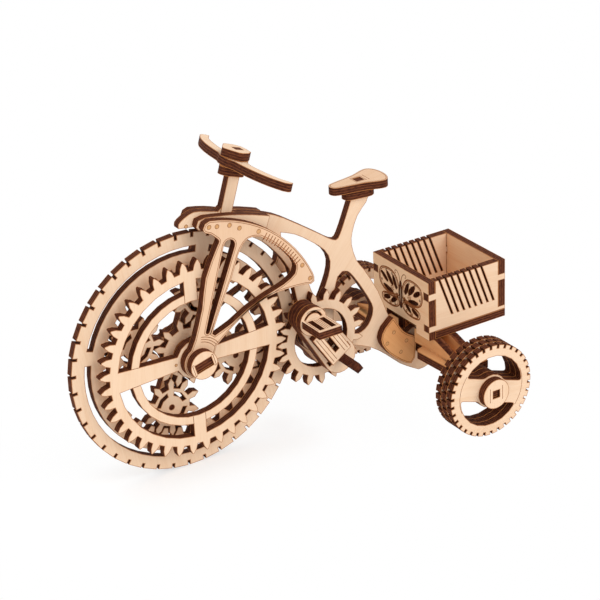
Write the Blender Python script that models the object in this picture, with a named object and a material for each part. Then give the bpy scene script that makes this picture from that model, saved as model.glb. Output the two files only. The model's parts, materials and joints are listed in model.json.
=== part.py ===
# Wooden mechanical model tricycle, cut from plywood sheet, with a gear train in its front wheel.
# Built in metres, +Z up, front along +X, left side along +Y, floor at z = 0.
# Sizes below are in millimetres.
import math

import bmesh
import bpy
from mathutils import Matrix, Vector

MM = 0.001

# Sheet and fits
PLY = 3.6
GAP = 0.2
HOLE_FIT = 0.25
SHAFT_FIT = 0.08
STICK = 3.4

# Front wheel and the gear train inside it
HUB_X = 48.5
WHEEL_R = 54.0
WHEEL_NOTCHES = 43
NOTCH_WIDTH = 1.2
NOTCH_DEPTH = 2.1
DRIVE_TEETH = 40
CRANK_TEETH = 19
DRIVE_PHASE = 5.4
DRIVE_RIM_WIDE = 3.94
INNER_RING_GAP = 5.9
INNER_RING_WIDE = 3.8
SUN_TEETH = 12
PLANET_TEETH = 10
RING_TEETH = 32
RING_WALL = 14.555
SLOT_INSET = 6.0
SLOT_HIGH = 2.8
PLANET_COUNT = 4
PLANET_START = -69.3
BACKLASH = 0.5
ADDENDUM = 0.92
DEDENDUM = 1.15
PIN_R = 1.15
AXLE_WIDE = 8.0
AXLE_THICK = 4.0
AXLE_TURN = -15.0
HUB_CAP_R = 6.4
BOSS_R = 7.4
DRIVE_HUB_R = 9.0
CARRIER_R = 8.6

# Fork, as distances outside the wheel's rim
FENDER_OUT = 8.4
FENDER_IN = 4.3
RIM_CLEAR = 2.4

# Crank and pedals
CRANK_SIDE = 188.6
CRANK_CLEAR = 1.53
CRANK_ANGLE = 56.5
CRANK_REACH = 17.9
CRANK_TAIL = 9.4
TAIL_R = 8.0
PEDAL_R = 6.7
PEDAL_PIN_R = 2.0
CRANK_HOLE_R = 13.6
CRANK_BAR_HALF = 5.2
BRACKET_R = 7.6
ARM_THICK = 6.6
FACE_THICK = 3.2
STICK_OUT = 14.5
PEDAL_WIDE = 11.4
PEDAL_LONG = 13.6

# Rear axle, wheels and axle beam
REAR_BACK = 55.08
REAR_R = 21.6
REAR_NOTCHES = 34
REAR_NOTCH_DEPTH = 1.6
REAR_PLIES = 3
REAR_OPEN_R = 16.5
REAR_CAP_R = 6.9
REAR_IN_Y = 43.6
TAIL_END_R = 11.5
BEAM_HALF = 10.8
BEAM_WALL = 2.4
BEAM_NECK = 3.8
BEAM_INNER_Y = 13.2
BEAM_OUTER_Y = 40.5

# Basket
BASKET_AHEAD = 8.7
BASKET_LENGTH = 42.1
BASKET_HALF = 21.3
BASKET_FLOOR_Z = 34.9
BASKET_TOP_Z = 63.0
FOOT_INNER = 11.5
SLOT_COUNT = 8
SLOT_STEP = 3.27
SLOT_WIDE = 1.0
SLOT_DEPTH = 18.4
SLOT_LEAN = 6.8

# Saddle, stem and handlebar
SEAT_BACK = 25.58
SEAT_UP = 58.84
STEM_OUT = 10.74
STEM_SIDE = 109.58
STEM_LEAN = 17.8
STEM_RISE = 14.4
STEM_WIDE = 5.4
STEM_FOOT = 5.0
TENON = 3.6
BAR_HALF = 34.8
BAR_SWEEP = 7.0

# Colours of the wood
LIGHT_WOOD = (0.86, 0.68, 0.48, 1.0)
WARM_WOOD = (0.62, 0.38, 0.19, 1.0)
DARK_WOOD = (0.20, 0.10, 0.06, 1.0)

# Places that follow from the sizes above
HUB_Z = WHEEL_R
REAR_Z = REAR_R
HALF = PLY / 2
SIDE_IN = HALF + GAP
SIDE_OUT = SIDE_IN + PLY
FORK_IN = SIDE_OUT + GAP
FORK_OUT = FORK_IN + PLY
CAP_IN = FORK_OUT + GAP
CAP_OUT = CAP_IN + PLY
FAR_CAP_IN = CAP_OUT + GAP
FAR_CAP_OUT = FAR_CAP_IN + PLY
ARM_OUT = FORK_IN + ARM_THICK
FACE_IN = ARM_OUT + GAP
FACE_OUT = FACE_IN + FACE_THICK
TRAIN_MODULE = (WHEEL_R - RING_WALL) / (RING_TEETH / 2 + DEDENDUM)
PLANET_REACH = (SUN_TEETH + PLANET_TEETH) * TRAIN_MODULE / 2
PLANET_ROOT_R = (PLANET_TEETH / 2 - DEDENDUM) * TRAIN_MODULE
DRIVE_REACH = WHEEL_R + CRANK_CLEAR + BRACKET_R
DRIVE_MODULE = 2 * DRIVE_REACH / (DRIVE_TEETH + CRANK_TEETH)
DRIVE_RIM_R = (DRIVE_TEETH / 2 - DEDENDUM) * DRIVE_MODULE - DRIVE_RIM_WIDE
INNER_RING_OUT = DRIVE_RIM_R - INNER_RING_GAP
INNER_RING_IN = INNER_RING_OUT - INNER_RING_WIDE
CRANK_X = HUB_X + DRIVE_REACH * math.cos(math.radians(CRANK_SIDE))
CRANK_Z = HUB_Z + DRIVE_REACH * math.sin(math.radians(CRANK_SIDE))
REAR_X = CRANK_X - REAR_BACK
BASKET_X = REAR_X + BASKET_AHEAD
SEAT_X = CRANK_X - SEAT_BACK
SEAT_Z = CRANK_Z + SEAT_UP
STEM_X = HUB_X + (WHEEL_R + STEM_OUT) * math.cos(math.radians(STEM_SIDE))
STEM_Z = HUB_Z + (WHEEL_R + STEM_OUT) * math.sin(math.radians(STEM_SIDE))
STICK_SWEEP_R = STICK / math.sqrt(2) + SHAFT_FIT + 0.03
FLOOR_TOP = BASKET_FLOOR_Z + PLY
HUB = (HUB_X, 0, HUB_Z)
CRANK = (CRANK_X, 0, CRANK_Z)
REAR = (REAR_X, 0, REAR_Z)
SIDES = ((1, "left"), (-1, "right"))

for old in list(bpy.data.objects):
    bpy.data.objects.remove(old, do_unlink=True)
model = bpy.data.collections.new("model_tricycle")
bpy.context.scene.collection.children.link(model)
cutters = bpy.data.collections.new("cutters")
bpy.context.scene.collection.children.link(cutters)


# Outlines in millimetres
def polar(cx, cy, radius, degrees):
    a = math.radians(degrees)
    return (cx + radius * math.cos(a), cy + radius * math.sin(a))


def arc(cx, cy, radius, start, end, count):
    return [polar(cx, cy, radius, start + (end - start) * i / count) for i in range(count + 1)]


def circle(cx, cy, radius, count):
    return arc(cx, cy, radius, 0.0, 360.0, count)[:-1]


def rectangle(x0, x1, y0, y1):
    return [(x0, y0), (x1, y0), (x1, y1), (x0, y1)]


def moved(points, cx, cy, degrees=0.0):
    a = math.radians(degrees)
    c = math.cos(a)
    s = math.sin(a)
    return [(cx + x * c - y * s, cy + x * s + y * c) for x, y in points]


def slab(cx, cy, wide, high, degrees=0.0):
    return moved(rectangle(-wide / 2, wide / 2, -high / 2, high / 2), cx, cy, degrees)


def ellipse(cx, cy, a, b, degrees, count):
    return moved([(a * x, b * y) for x, y in circle(0.0, 0.0, 1.0, count)], cx, cy, degrees)


def stadium(x0, r0, x1, r1, count):
    half = math.degrees(math.acos((r0 - r1) / (x1 - x0)))
    return arc(x0, 0.0, r0, half, 360.0 - half, count) + arc(x1, 0.0, r1, -half, half, count)


def arc_slot(cx, cy, r0, r1, start, end, count):
    return arc(cx, cy, r1, start, end, count) + arc(cx, cy, r0, end, start, count)


def soften(points, cut):
    out = []
    for before, spot, after in zip(points[-1:] + points[:-1], points, points[1:] + points[:1]):
        back = Vector(before) - Vector(spot)
        ahead = Vector(after) - Vector(spot)
        if math.degrees(back.angle(ahead)) > 145.0:
            out.append(spot)
            continue
        start = Vector(spot) + back.normalized() * min(cut, back.length * 0.45)
        end = Vector(spot) + ahead.normalized() * min(cut, ahead.length * 0.45)
        for t in (0.0, 0.33, 0.67, 1.0):
            bend = start * (1 - t) ** 2 + Vector(spot) * 2 * t * (1 - t) + end * t ** 2
            out.append(tuple(bend))
    return out


def mirror_y(points):
    return [(x, -y) for x, y in points[::-1]]


def curve_through(points, steps=2):
    pts = [points[0]] + list(points) + [points[-1]]
    out = []
    for four in zip(pts, pts[1:], pts[2:], pts[3:]):
        for i in range(steps):
            t = i / steps
            row = []
            for a, b, c, d in zip(*four):
                bend = (2 * a - 5 * b + 4 * c - d) * t * t + (3 * b - a - 3 * c + d) * t ** 3
                row.append((2 * b + (c - a) * t + bend) / 2)
            out.append(tuple(row))
    return out + [tuple(points[-1])]


# Gear teeth with involute flanks
PRESSURE = math.radians(20.0)


def involute_at(radius, pitch_r):
    angle = math.acos(min(1.0, pitch_r * math.cos(PRESSURE) / radius))
    return math.tan(angle) - angle


def tooth_half(radius, pitch_r, half, inward):
    change = involute_at(radius, pitch_r) - involute_at(pitch_r, pitch_r)
    return half + change if inward else half - change


def gear(teeth, module, cx, cy, phase, add=ADDENDUM, inward=False):
    pitch_r = teeth * module / 2
    half = (math.pi * module / 2 - BACKLASH) / 2 / pitch_r
    sign = -1 if inward else 1
    rows = [pitch_r - sign * DEDENDUM * module, pitch_r, pitch_r + sign * add * module]
    slim = teeth < 15
    points = []
    for k in range(teeth):
        middle = math.radians(phase) + 2 * math.pi * k / teeth
        flank = []
        for r in rows:
            h = half if slim and r < pitch_r else tooth_half(r, pitch_r, half, inward)
            if r == rows[-1] and not inward:
                h -= 0.14 * module / r
            flank.append((r, max(h, 0.1 * module / r)))
        points += [(r, middle - h) for r, h in flank] + [(r, middle + h) for r, h in flank[::-1]]
    return [(cx + r * math.cos(a), cy + r * math.sin(a)) for r, a in points]


def notched(cx, cy, radius, depth, notches, width, phase):
    half = width / 2 / radius
    points = []
    for k in range(notches):
        a = math.radians(phase) + 2 * math.pi * k / notches
        for r, t in ((radius, -half), (radius - depth, -half), (radius - depth, half), (radius, half)):
            points.append((cx + r * math.cos(a + t), cy + r * math.sin(a + t)))
    return points


# Pieces: an outline lies in the side plane (x, z), the front plane (y, z) or the flat plane (x, y)
PLANES = {
    "side": Matrix(((1, 0, 0), (0, 0, -1), (0, 1, 0))).to_4x4(),
    "front": Matrix(((0, 0, 1), (1, 0, 0), (0, 1, 0))).to_4x4(),
    "flat": Matrix.Identity(4),
}


def plate_mesh(name, plane, outlines, low, high):
    curve = bpy.data.curves.new(name, "CURVE")
    curve.dimensions = "2D"
    curve.fill_mode = "BOTH"
    curve.extrude = (high - low) / 2 * MM
    for points in outlines:
        spline = curve.splines.new("POLY")
        spline.points.add(len(points) - 1)
        for spot, (x, y) in zip(spline.points, points):
            spot.co = (x * MM, y * MM, 0.0, 1.0)
        spline.use_cyclic_u = True
    holder = bpy.data.objects.new(name + "_outline", curve)
    cutters.objects.link(holder)
    middle = (high + low) / 2 * MM
    shift = {"side": (0, middle, 0), "front": (middle, 0, 0), "flat": (0, 0, middle)}[plane]
    holder.matrix_world = Matrix.Translation(shift) @ PLANES[plane]
    bpy.context.view_layer.update()
    graph = bpy.context.evaluated_depsgraph_get()
    mesh = bpy.data.meshes.new_from_object(holder.evaluated_get(graph))
    mesh.transform(holder.matrix_world)
    shape = bmesh.new()
    shape.from_mesh(mesh)
    bmesh.ops.remove_doubles(shape, verts=shape.verts, dist=0.000002)
    bmesh.ops.recalc_face_normals(shape, faces=shape.faces)
    shape.to_mesh(mesh)
    shape.free()
    mesh.name = name
    bpy.data.objects.remove(holder, do_unlink=True)
    return mesh


def finish(mesh, name, colour, pivot):
    piece = bpy.data.objects.new(name, mesh)
    model.objects.link(piece)
    wood = bpy.data.materials.new("wood_" + name)
    wood.use_nodes = True
    shader = wood.node_tree.nodes["Principled BSDF"]
    shader.inputs["Base Color"].default_value = colour
    shader.inputs["Roughness"].default_value = 0.6
    mesh.materials.clear()
    mesh.materials.append(wood)
    spot = Vector(pivot) * MM
    mesh.transform(Matrix.Translation(-spot))
    piece.location = spot
    return piece


def plate(name, plane, outlines, low, high, colour=LIGHT_WOOD, pivot=(0, 0, 0)):
    return finish(plate_mesh(name, plane, outlines, low, high), name, colour, pivot)


def add_shape(piece, mesh):
    tool = bpy.data.objects.new(mesh.name + "_tool", mesh)
    cutters.objects.link(tool)
    tool.hide_render = True
    tool.display_type = "WIRE"
    change = piece.modifiers.new(mesh.name, "BOOLEAN")
    change.operation = "UNION"
    change.solver = "EXACT"
    change.object = tool


def span(side, low, high):
    return (low, high) if side > 0 else (-high, -low)


def hub_ring(offset, degrees):
    return polar(HUB_X, HUB_Z, WHEEL_R + offset, degrees)


def planet_angle(index):
    return PLANET_START + 360.0 / PLANET_COUNT * index


def planet_phase(index):
    at = planet_angle(index)
    return at + 180.0 + 180.0 / PLANET_TEETH - (PLANET_START - at) * SUN_TEETH / PLANET_TEETH


# Front wheel ring: notched rim, four arc slots and inner gear teeth
ring_phase = PLANET_START + (planet_phase(0) - PLANET_START) * PLANET_TEETH / RING_TEETH
ring_phase += 180.0 / RING_TEETH
rim = notched(HUB_X, HUB_Z, WHEEL_R, NOTCH_DEPTH, WHEEL_NOTCHES, NOTCH_WIDTH, 5.0)
slot_out = WHEEL_R - SLOT_INSET
rim_slots = [
    arc_slot(HUB_X, HUB_Z, slot_out - SLOT_HIGH, slot_out, 17.5 + 90 * k, 99.5 + 90 * k, 12)
    for k in range(4)
]
ring_teeth = gear(RING_TEETH, TRAIN_MODULE, HUB_X, HUB_Z, ring_phase, 0.85, True)
plate("front_wheel", "side", [rim, ring_teeth] + rim_slots, -SIDE_OUT, -SIDE_IN, pivot=HUB)


# Drive gear: toothed rim, inner ring, two bars through both, two stubs between them, a keyed hub
def width_angle(half, radius):
    return math.degrees(math.asin(half / radius))


def drive_rim_window(turn, flip):
    points = arc(0.0, 0.0, DRIVE_RIM_R, width_angle(4.7, DRIVE_RIM_R),
                 90.0 - width_angle(3.0, DRIVE_RIM_R), 7)
    points += arc(0.0, 0.0, INNER_RING_OUT, 90.0 - width_angle(3.0, INNER_RING_OUT),
                  width_angle(4.3, INNER_RING_OUT), 7)
    return moved([(x, flip * z) for x, z in points], HUB_X, HUB_Z, turn)


def drive_hub_window(turn):
    low = width_angle(4.1, INNER_RING_IN)
    points = arc(0.0, 0.0, INNER_RING_IN, low, 180.0 - low, 14)
    low = width_angle(3.2, DRIVE_HUB_R)
    points += arc(0.0, 0.0, DRIVE_HUB_R, 180.0 - low, low, 6)
    return moved(points, HUB_X, HUB_Z, turn)


key = slab(HUB_X, HUB_Z, AXLE_WIDE + HOLE_FIT, AXLE_THICK + HOLE_FIT, AXLE_TURN)
drive = [gear(DRIVE_TEETH, DRIVE_MODULE, HUB_X, HUB_Z, DRIVE_PHASE), key]
for turn in (0.0, 180.0):
    drive += [drive_rim_window(turn, 1), drive_rim_window(turn, -1), drive_hub_window(turn)]
plate("front_gear", "side", drive, SIDE_IN, SIDE_OUT, pivot=HUB)
plate("sun_spacer", "side", [circle(HUB_X, HUB_Z, HUB_CAP_R, 28), key], -HALF, HALF, pivot=HUB)
sun = gear(SUN_TEETH, TRAIN_MODULE, HUB_X, HUB_Z, PLANET_START)
plate("sun_gear", "side", [sun, key], -SIDE_OUT, -SIDE_IN, pivot=HUB)

# Front axle, keyed in the gears and in both hub caps
plate("front_axle", "side", [slab(HUB_X, HUB_Z, AXLE_WIDE, AXLE_THICK, AXLE_TURN)],
      -FAR_CAP_OUT + 0.6, CAP_OUT - 0.6, DARK_WOOD, HUB)
hub_cap = [circle(HUB_X, HUB_Z, HUB_CAP_R, 28), key]
plate("front_cap_left", "side", hub_cap, CAP_IN, CAP_OUT, pivot=HUB)
plate("front_cap_right", "side", hub_cap, -FAR_CAP_OUT, -FAR_CAP_IN, pivot=HUB)

# Planet gears, each with four arc slots, on the pins of the carrier
for index in range(PLANET_COUNT):
    px, pz = polar(HUB_X, HUB_Z, PLANET_REACH, planet_angle(index))
    outlines = [gear(PLANET_TEETH, TRAIN_MODULE, px, pz, planet_phase(index))]
    outlines.append(circle(px, pz, PIN_R + SHAFT_FIT + 0.03, 12))
    outlines += [
        arc_slot(px, pz, PLANET_ROOT_R - 3.36, PLANET_ROOT_R - 1.56, 90 * k + 14, 90 * k + 76, 2)
        for k in range(4)
    ]
    plate("planet_gear_" + str(index + 1), "side", outlines, -SIDE_OUT, -SIDE_IN, pivot=(px, 0, pz))

# Carrier: a star outside the right fork plate, with a pin through to each planet
star = []
for index in range(PLANET_COUNT):
    at = planet_angle(index)
    tip = polar(0.0, 0.0, PLANET_REACH, at)
    star += [polar(0.0, 0.0, CARRIER_R, at - 45), polar(0.0, 0.0, CARRIER_R + 1.0, at - 18)]
    star += arc(tip[0], tip[1], 3.4, at - 75, at + 75, 6)
    star += [polar(0.0, 0.0, CARRIER_R + 1.0, at + 18)]
axle_bore = circle(HUB_X, HUB_Z, math.hypot(AXLE_WIDE, AXLE_THICK) / 2 + SHAFT_FIT + 0.03, 32)
carrier = plate("planet_carrier", "side", [moved(star, HUB_X, HUB_Z), axle_bore],
                -CAP_OUT, -CAP_IN, DARK_WOOD)
for index in range(PLANET_COUNT):
    px, pz = polar(HUB_X, HUB_Z, PLANET_REACH, planet_angle(index))
    pin = circle(px, pz, PIN_R, 12)
    add_shape(carrier, plate_mesh("carrier_pin_" + str(index + 1), "side", [pin],
                                  -CAP_OUT + 1.0, -SIDE_IN))

# Fork plates: leg, fender arc and lower branch around a D-shaped window and a tapered slot
fork = [hub_ring(5.1, 95.6), hub_ring(7.3, 96.4)]
fork += arc(HUB_X, HUB_Z, WHEEL_R + FENDER_OUT, 98.4, 156.5, 16)
fork += [hub_ring(8.2, 158.6), hub_ring(7.4, 160.4), hub_ring(5.4, 160.6)]
fork += curve_through([
    hub_ring(3.1, 159.0), hub_ring(-6.0, 154.2), hub_ring(-14.3, 149.8), hub_ring(-23.7, 146.8),
    hub_ring(-34.0, 145.6), polar(HUB_X, HUB_Z, BOSS_R + 2.4, 149.0),
])
fork += arc(HUB_X, HUB_Z, BOSS_R, 166.0, 420.0, 18)
fork += curve_through([
    polar(HUB_X, HUB_Z, BOSS_R + 3.4, 82.0), hub_ring(-30.0, 96.8), hub_ring(-16.6, 98.4),
    hub_ring(-3.4, 103.3), hub_ring(-0.6, 104.0), hub_ring(1.0, 101.8), hub_ring(2.6, 99.2),
    hub_ring(3.2, 97.2), hub_ring(4.0, 96.0),
])
slot_top = hub_ring(-2.5, 109.9)
slot_foot = polar(HUB_X, HUB_Z, 13.4, 110.5)
slot_lean = math.degrees(math.atan2(slot_top[1] - slot_foot[1], slot_top[0] - slot_foot[0]))
slot_long = math.dist(slot_top, slot_foot)
fork_slot = moved([(slot_long - x, y) for x, y in stadium(0.0, 2.7, slot_long, 0.9, 8)],
                  slot_foot[0], slot_foot[1], slot_lean)
fork_window = curve_through([
    hub_ring(-41.2, 129.0), hub_ring(-33.0, 141.5), hub_ring(-24.0, 144.6), hub_ring(-14.5, 148.2),
    hub_ring(-5.0, 151.2), hub_ring(1.4, 151.0), hub_ring(3.9, 148.2),
])
fork_window += arc(HUB_X, HUB_Z, WHEEL_R + FENDER_IN, 145.0, 124.0, 6)
fork_window += curve_through([
    hub_ring(3.4, 121.2), hub_ring(1.9, 118.6), hub_ring(-0.8, 117.0), hub_ring(-6.0, 116.4),
    hub_ring(-16.0, 117.6), hub_ring(-29.0, 118.0), hub_ring(-41.0, 121.5),
])
spacer = [hub_ring(4.9, 94.6), hub_ring(7.6, 95.4)]
spacer += curve_through([
    hub_ring(8.6, 98.5), hub_ring(9.5, 109.0), hub_ring(11.4, 119.0), hub_ring(13.5, 126.2),
])
spacer += [hub_ring(7.0, 128.0)]
spacer += arc(HUB_X, HUB_Z, WHEEL_R + RIM_CLEAR, 129.0, 103.0, 8)
spacer += [hub_ring(3.0, 98.4), hub_ring(3.4, 95.6)]
for side, name in SIDES:
    plate("fork_plate_" + name, "side", [fork, fork_slot, fork_window, axle_bore],
          *span(side, FORK_IN, FORK_OUT))
    plate("fork_spacer_" + name, "side", [spacer], *span(side, SIDE_IN, SIDE_OUT))


# Frame plate: head, top beam, saddle post, crank bracket and tail end around the rear axle
def from_crank(x, z):
    return (CRANK_X + x, CRANK_Z + z)


def from_seat(x, z):
    return (SEAT_X + x, SEAT_Z + z)


def from_rear(x, z):
    return (REAR_X + x, REAR_Z + z)


seat_foot = SEAT_Z - GAP
stem_notch = moved([
    (STEM_WIDE / 2 + GAP, 0.6), (STEM_WIDE / 2 + GAP, -STEM_FOOT - GAP),
    (-STEM_WIDE / 2 - GAP, -STEM_FOOT - GAP), (-STEM_WIDE / 2 - GAP, -0.6),
], STEM_X, STEM_Z, STEM_LEAN)
frame = curve_through([
    hub_ring(4.4, 88.6), hub_ring(6.4, 88.8), hub_ring(8.4, 91.4), hub_ring(10.2, 95.6),
    hub_ring(9.8, 101.5), hub_ring(STEM_OUT - 1.14, 106.0),
])
frame += stem_notch
frame += curve_through([
    hub_ring(STEM_OUT - 0.84, 114.0), hub_ring(11.4, 119.0), hub_ring(13.8, 127.6),
    hub_ring(15.8, 134.6), from_seat(22.8, -10.9), from_seat(17.6, -14.7), from_seat(13.6, -16.8), from_seat(11.4, -14.6),
    from_seat(8.4, -8.0), from_seat(5.2, -0.2),
])[:-1]
frame += [(SEAT_X + 5.2, seat_foot), (SEAT_X + TENON / 2, seat_foot),
          (SEAT_X + TENON / 2, SEAT_Z + 2 * PLY), (SEAT_X - TENON / 2, SEAT_Z + 2 * PLY),
          (SEAT_X - TENON / 2, seat_foot), (SEAT_X - 4.2, seat_foot)]
frame += curve_through([
    from_seat(-2.6, -3.4), from_seat(2.2, -8.6), from_seat(5.0, -15.5), from_seat(5.6, -21.4),
    from_seat(3.3, -29.4), from_crank(-26.1, 23.9), from_crank(-33.0, 11.6),
    from_crank(-37.6, -0.4), from_rear(14.0, 15.6), from_rear(9.4, 12.6),
])[:-1]
frame += arc(REAR_X, REAR_Z, TAIL_END_R, 50.0, 275.0, 16)
frame += curve_through([
    from_rear(4.6, -9.4), from_rear(11.4, -5.0), from_rear(18.6, 1.6), from_rear(26.7, 7.8),
    from_crank(-17.3, -10.4), from_crank(-8.6, -7.4), from_crank(-2.0, -BRACKET_R),
])[:-1]
frame += arc(CRANK_X, CRANK_Z, BRACKET_R, -90.0, 30.0, 6)
frame += curve_through([from_crank(7.2, 10.4), from_crank(9.2, 20.4), from_crank(10.8, 29.6)])
frame += arc(HUB_X, HUB_Z, WHEEL_R + RIM_CLEAR, 153.0, 100.0, 14)
frame += [hub_ring(3.6, 96.0), hub_ring(4.0, 91.5)]
frame_window = curve_through([
    from_seat(41.0, -5.8), from_seat(34.1, -8.6), from_seat(26.4, -14.0), from_seat(19.6, -20.0),
    from_seat(17.0, -26.0), from_seat(18.2, -32.6), from_crank(-4.4, 19.6), from_crank(-2.6, 16.4),
    from_crank(-0.8, 17.2), from_crank(1.6, 22.0), from_crank(3.8, 29.4),
])
frame_window += arc(HUB_X, HUB_Z, WHEEL_R + 7.2, 156.0, 140.0, 5)
frame_drop = curve_through([
    from_crank(-14.6, 26.2), from_crank(-17.6, 25.4), from_crank(-20.7, 21.6),
    from_crank(-24.6, 15.4), from_crank(-29.4, 6.4), from_crank(-29.9, 2.3),
    from_crank(-28.6, -1.6), from_crank(-25.6, -4.9), from_crank(-21.0, -6.2),
    from_crank(-15.2, -5.4), from_crank(-11.0, -2.4), from_crank(-9.2, 2.4), from_crank(-9.4, 10.0),
    from_crank(-10.4, 19.0), from_crank(-12.2, 24.4),
])
crank_bore = circle(CRANK_X, CRANK_Z, STICK_SWEEP_R, 24)
rear_bore = circle(REAR_X, REAR_Z, STICK_SWEEP_R, 24)
plate("frame_plate", "side", [frame, frame_window, frame_drop, crank_bore, rear_bore], -HALF, HALF)

# Crank gear with a bar across its hole, keyed on a square stick
crank_phase = CRANK_SIDE + 180.0 + 180.0 / CRANK_TEETH
crank_phase -= (DRIVE_PHASE - CRANK_SIDE) * DRIVE_TEETH / CRANK_TEETH
bar_angle = math.degrees(math.asin(CRANK_BAR_HALF / CRANK_HOLE_R))
crank_key = slab(CRANK_X, CRANK_Z, STICK + HOLE_FIT, STICK + HOLE_FIT, CRANK_ANGLE)
crank_windows = [
    moved(arc(0.0, 0.0, CRANK_HOLE_R, bar_angle, 180.0 - bar_angle, 12), CRANK_X, CRANK_Z, turn)
    for turn in (CRANK_ANGLE, CRANK_ANGLE + 180.0)
]
crank_teeth = gear(CRANK_TEETH, DRIVE_MODULE, CRANK_X, CRANK_Z, crank_phase)
plate("crank_gear", "side", [crank_teeth, crank_key] + crank_windows, SIDE_IN, SIDE_OUT, pivot=CRANK)
plate("crank_spacer", "side", [circle(CRANK_X, CRANK_Z, BRACKET_R, 24), crank_key],
      -SIDE_OUT, -SIDE_IN, pivot=CRANK)
plate("crank_axle", "side", [slab(CRANK_X, CRANK_Z, STICK, STICK, CRANK_ANGLE)],
      -ARM_OUT + 0.4, ARM_OUT - 0.4, DARK_WOOD, CRANK)

# Crank arms with their end sticks, face plates and free-turning pedals
for side, name in SIDES:
    turn = CRANK_ANGLE if side > 0 else CRANK_ANGLE + 180.0

    def on_arm(points):
        return moved(points, CRANK_X, CRANK_Z, turn)

    pedal_x, pedal_z = on_arm([(CRANK_REACH, 0.0)])[0]
    pedal_spot = (pedal_x, 0, pedal_z)
    arm = on_arm(stadium(-CRANK_TAIL, TAIL_R, CRANK_REACH, PEDAL_R - 0.2, 10))
    arm_key = on_arm(slab(0.0, 0.0, STICK + HOLE_FIT, STICK + HOLE_FIT))
    pin_bore = circle(pedal_x, pedal_z, PEDAL_PIN_R + SHAFT_FIT + 0.03, 20)
    relief = [on_arm(slab(-CRANK_TAIL + 1.6, t, 2.6, 1.8)) for t in (-5.6, 5.6)]
    crank_arm = plate("crank_arm_" + name, "side", [arm, arm_key, pin_bore] + relief,
                      *span(side, FORK_IN, ARM_OUT), LIGHT_WOOD, CRANK)
    stick = on_arm(slab(-CRANK_TAIL, 0.0, STICK, STICK))
    stick_mesh = plate_mesh("crank_stick_" + name, "side", [stick],
                            *span(side, FORK_IN + 0.6, ARM_OUT + STICK_OUT))
    stick_mesh.transform(Matrix.Translation(-Vector(CRANK) * MM))
    add_shape(crank_arm, stick_mesh)
    face_low = -CRANK_TAIL + STICK / 2 + 0.5
    face_high = CRANK_REACH - PEDAL_R - 0.7
    face = on_arm(rectangle(face_low, face_high, -5.7, 5.7))
    face_slot = on_arm(rectangle(-2.9, face_high - 2.6, -1.2, 1.2))
    plate("crank_plate_" + name, "side", [face, face_slot], *span(side, FACE_IN, FACE_OUT), pivot=CRANK)

    disc = [circle(pedal_x, pedal_z, PEDAL_R, 32),
            arc_slot(pedal_x, pedal_z, 4.0, 4.8, 22.0, 158.0, 8)]
    pedal = plate("pedal_" + name, "side", disc, *span(side, FACE_IN, FACE_OUT), LIGHT_WOOD, pedal_spot)
    board_y = span(side, FACE_OUT - 0.4, FACE_OUT + PEDAL_LONG)
    board = [rectangle(pedal_x - PEDAL_WIDE / 2, pedal_x + PEDAL_WIDE / 2, *board_y)]
    slot_y = span(side, FACE_OUT + 2.0, FACE_OUT + PEDAL_LONG - 2.0)
    board += [rectangle(pedal_x + x - 1.1, pedal_x + x + 1.1, *slot_y) for x in (-2.9, 2.9)]
    board_mesh = plate_mesh("pedal_board_" + name, "flat", board, pedal_z - 1.7, pedal_z + 1.7)
    pin_mesh = plate_mesh("pedal_pin_" + name, "side", [circle(pedal_x, pedal_z, PEDAL_PIN_R, 20)],
                          *span(side, FORK_IN + 0.6, FACE_IN + 0.8))
    for mesh in (board_mesh, pin_mesh):
        mesh.transform(Matrix.Translation(-Vector(pedal_spot) * MM))
        add_shape(pedal, mesh)

# Leaf-shaped side plates over the tail of the frame
leaf = curve_through([
    from_rear(16.7, 21.0), from_rear(21.4, 17.1), from_rear(23.6, 12.1), from_rear(21.4, 6.5),
    from_rear(16.4, 1.0), from_rear(10.6, -3.4), from_rear(7.6, -4.6),
])
leaf += curve_through([
    from_rear(5.6, -2.4), from_rear(4.8, 4.3), from_rear(4.4, 7.8), from_rear(8.6, 10.4),
    from_rear(12.0, 13.4), from_rear(14.6, 17.6),
])
for side, name in SIDES:
    plate("side_leaf_" + name, "side", [leaf], *span(side, SIDE_IN, SIDE_OUT), WARM_WOOD)

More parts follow.
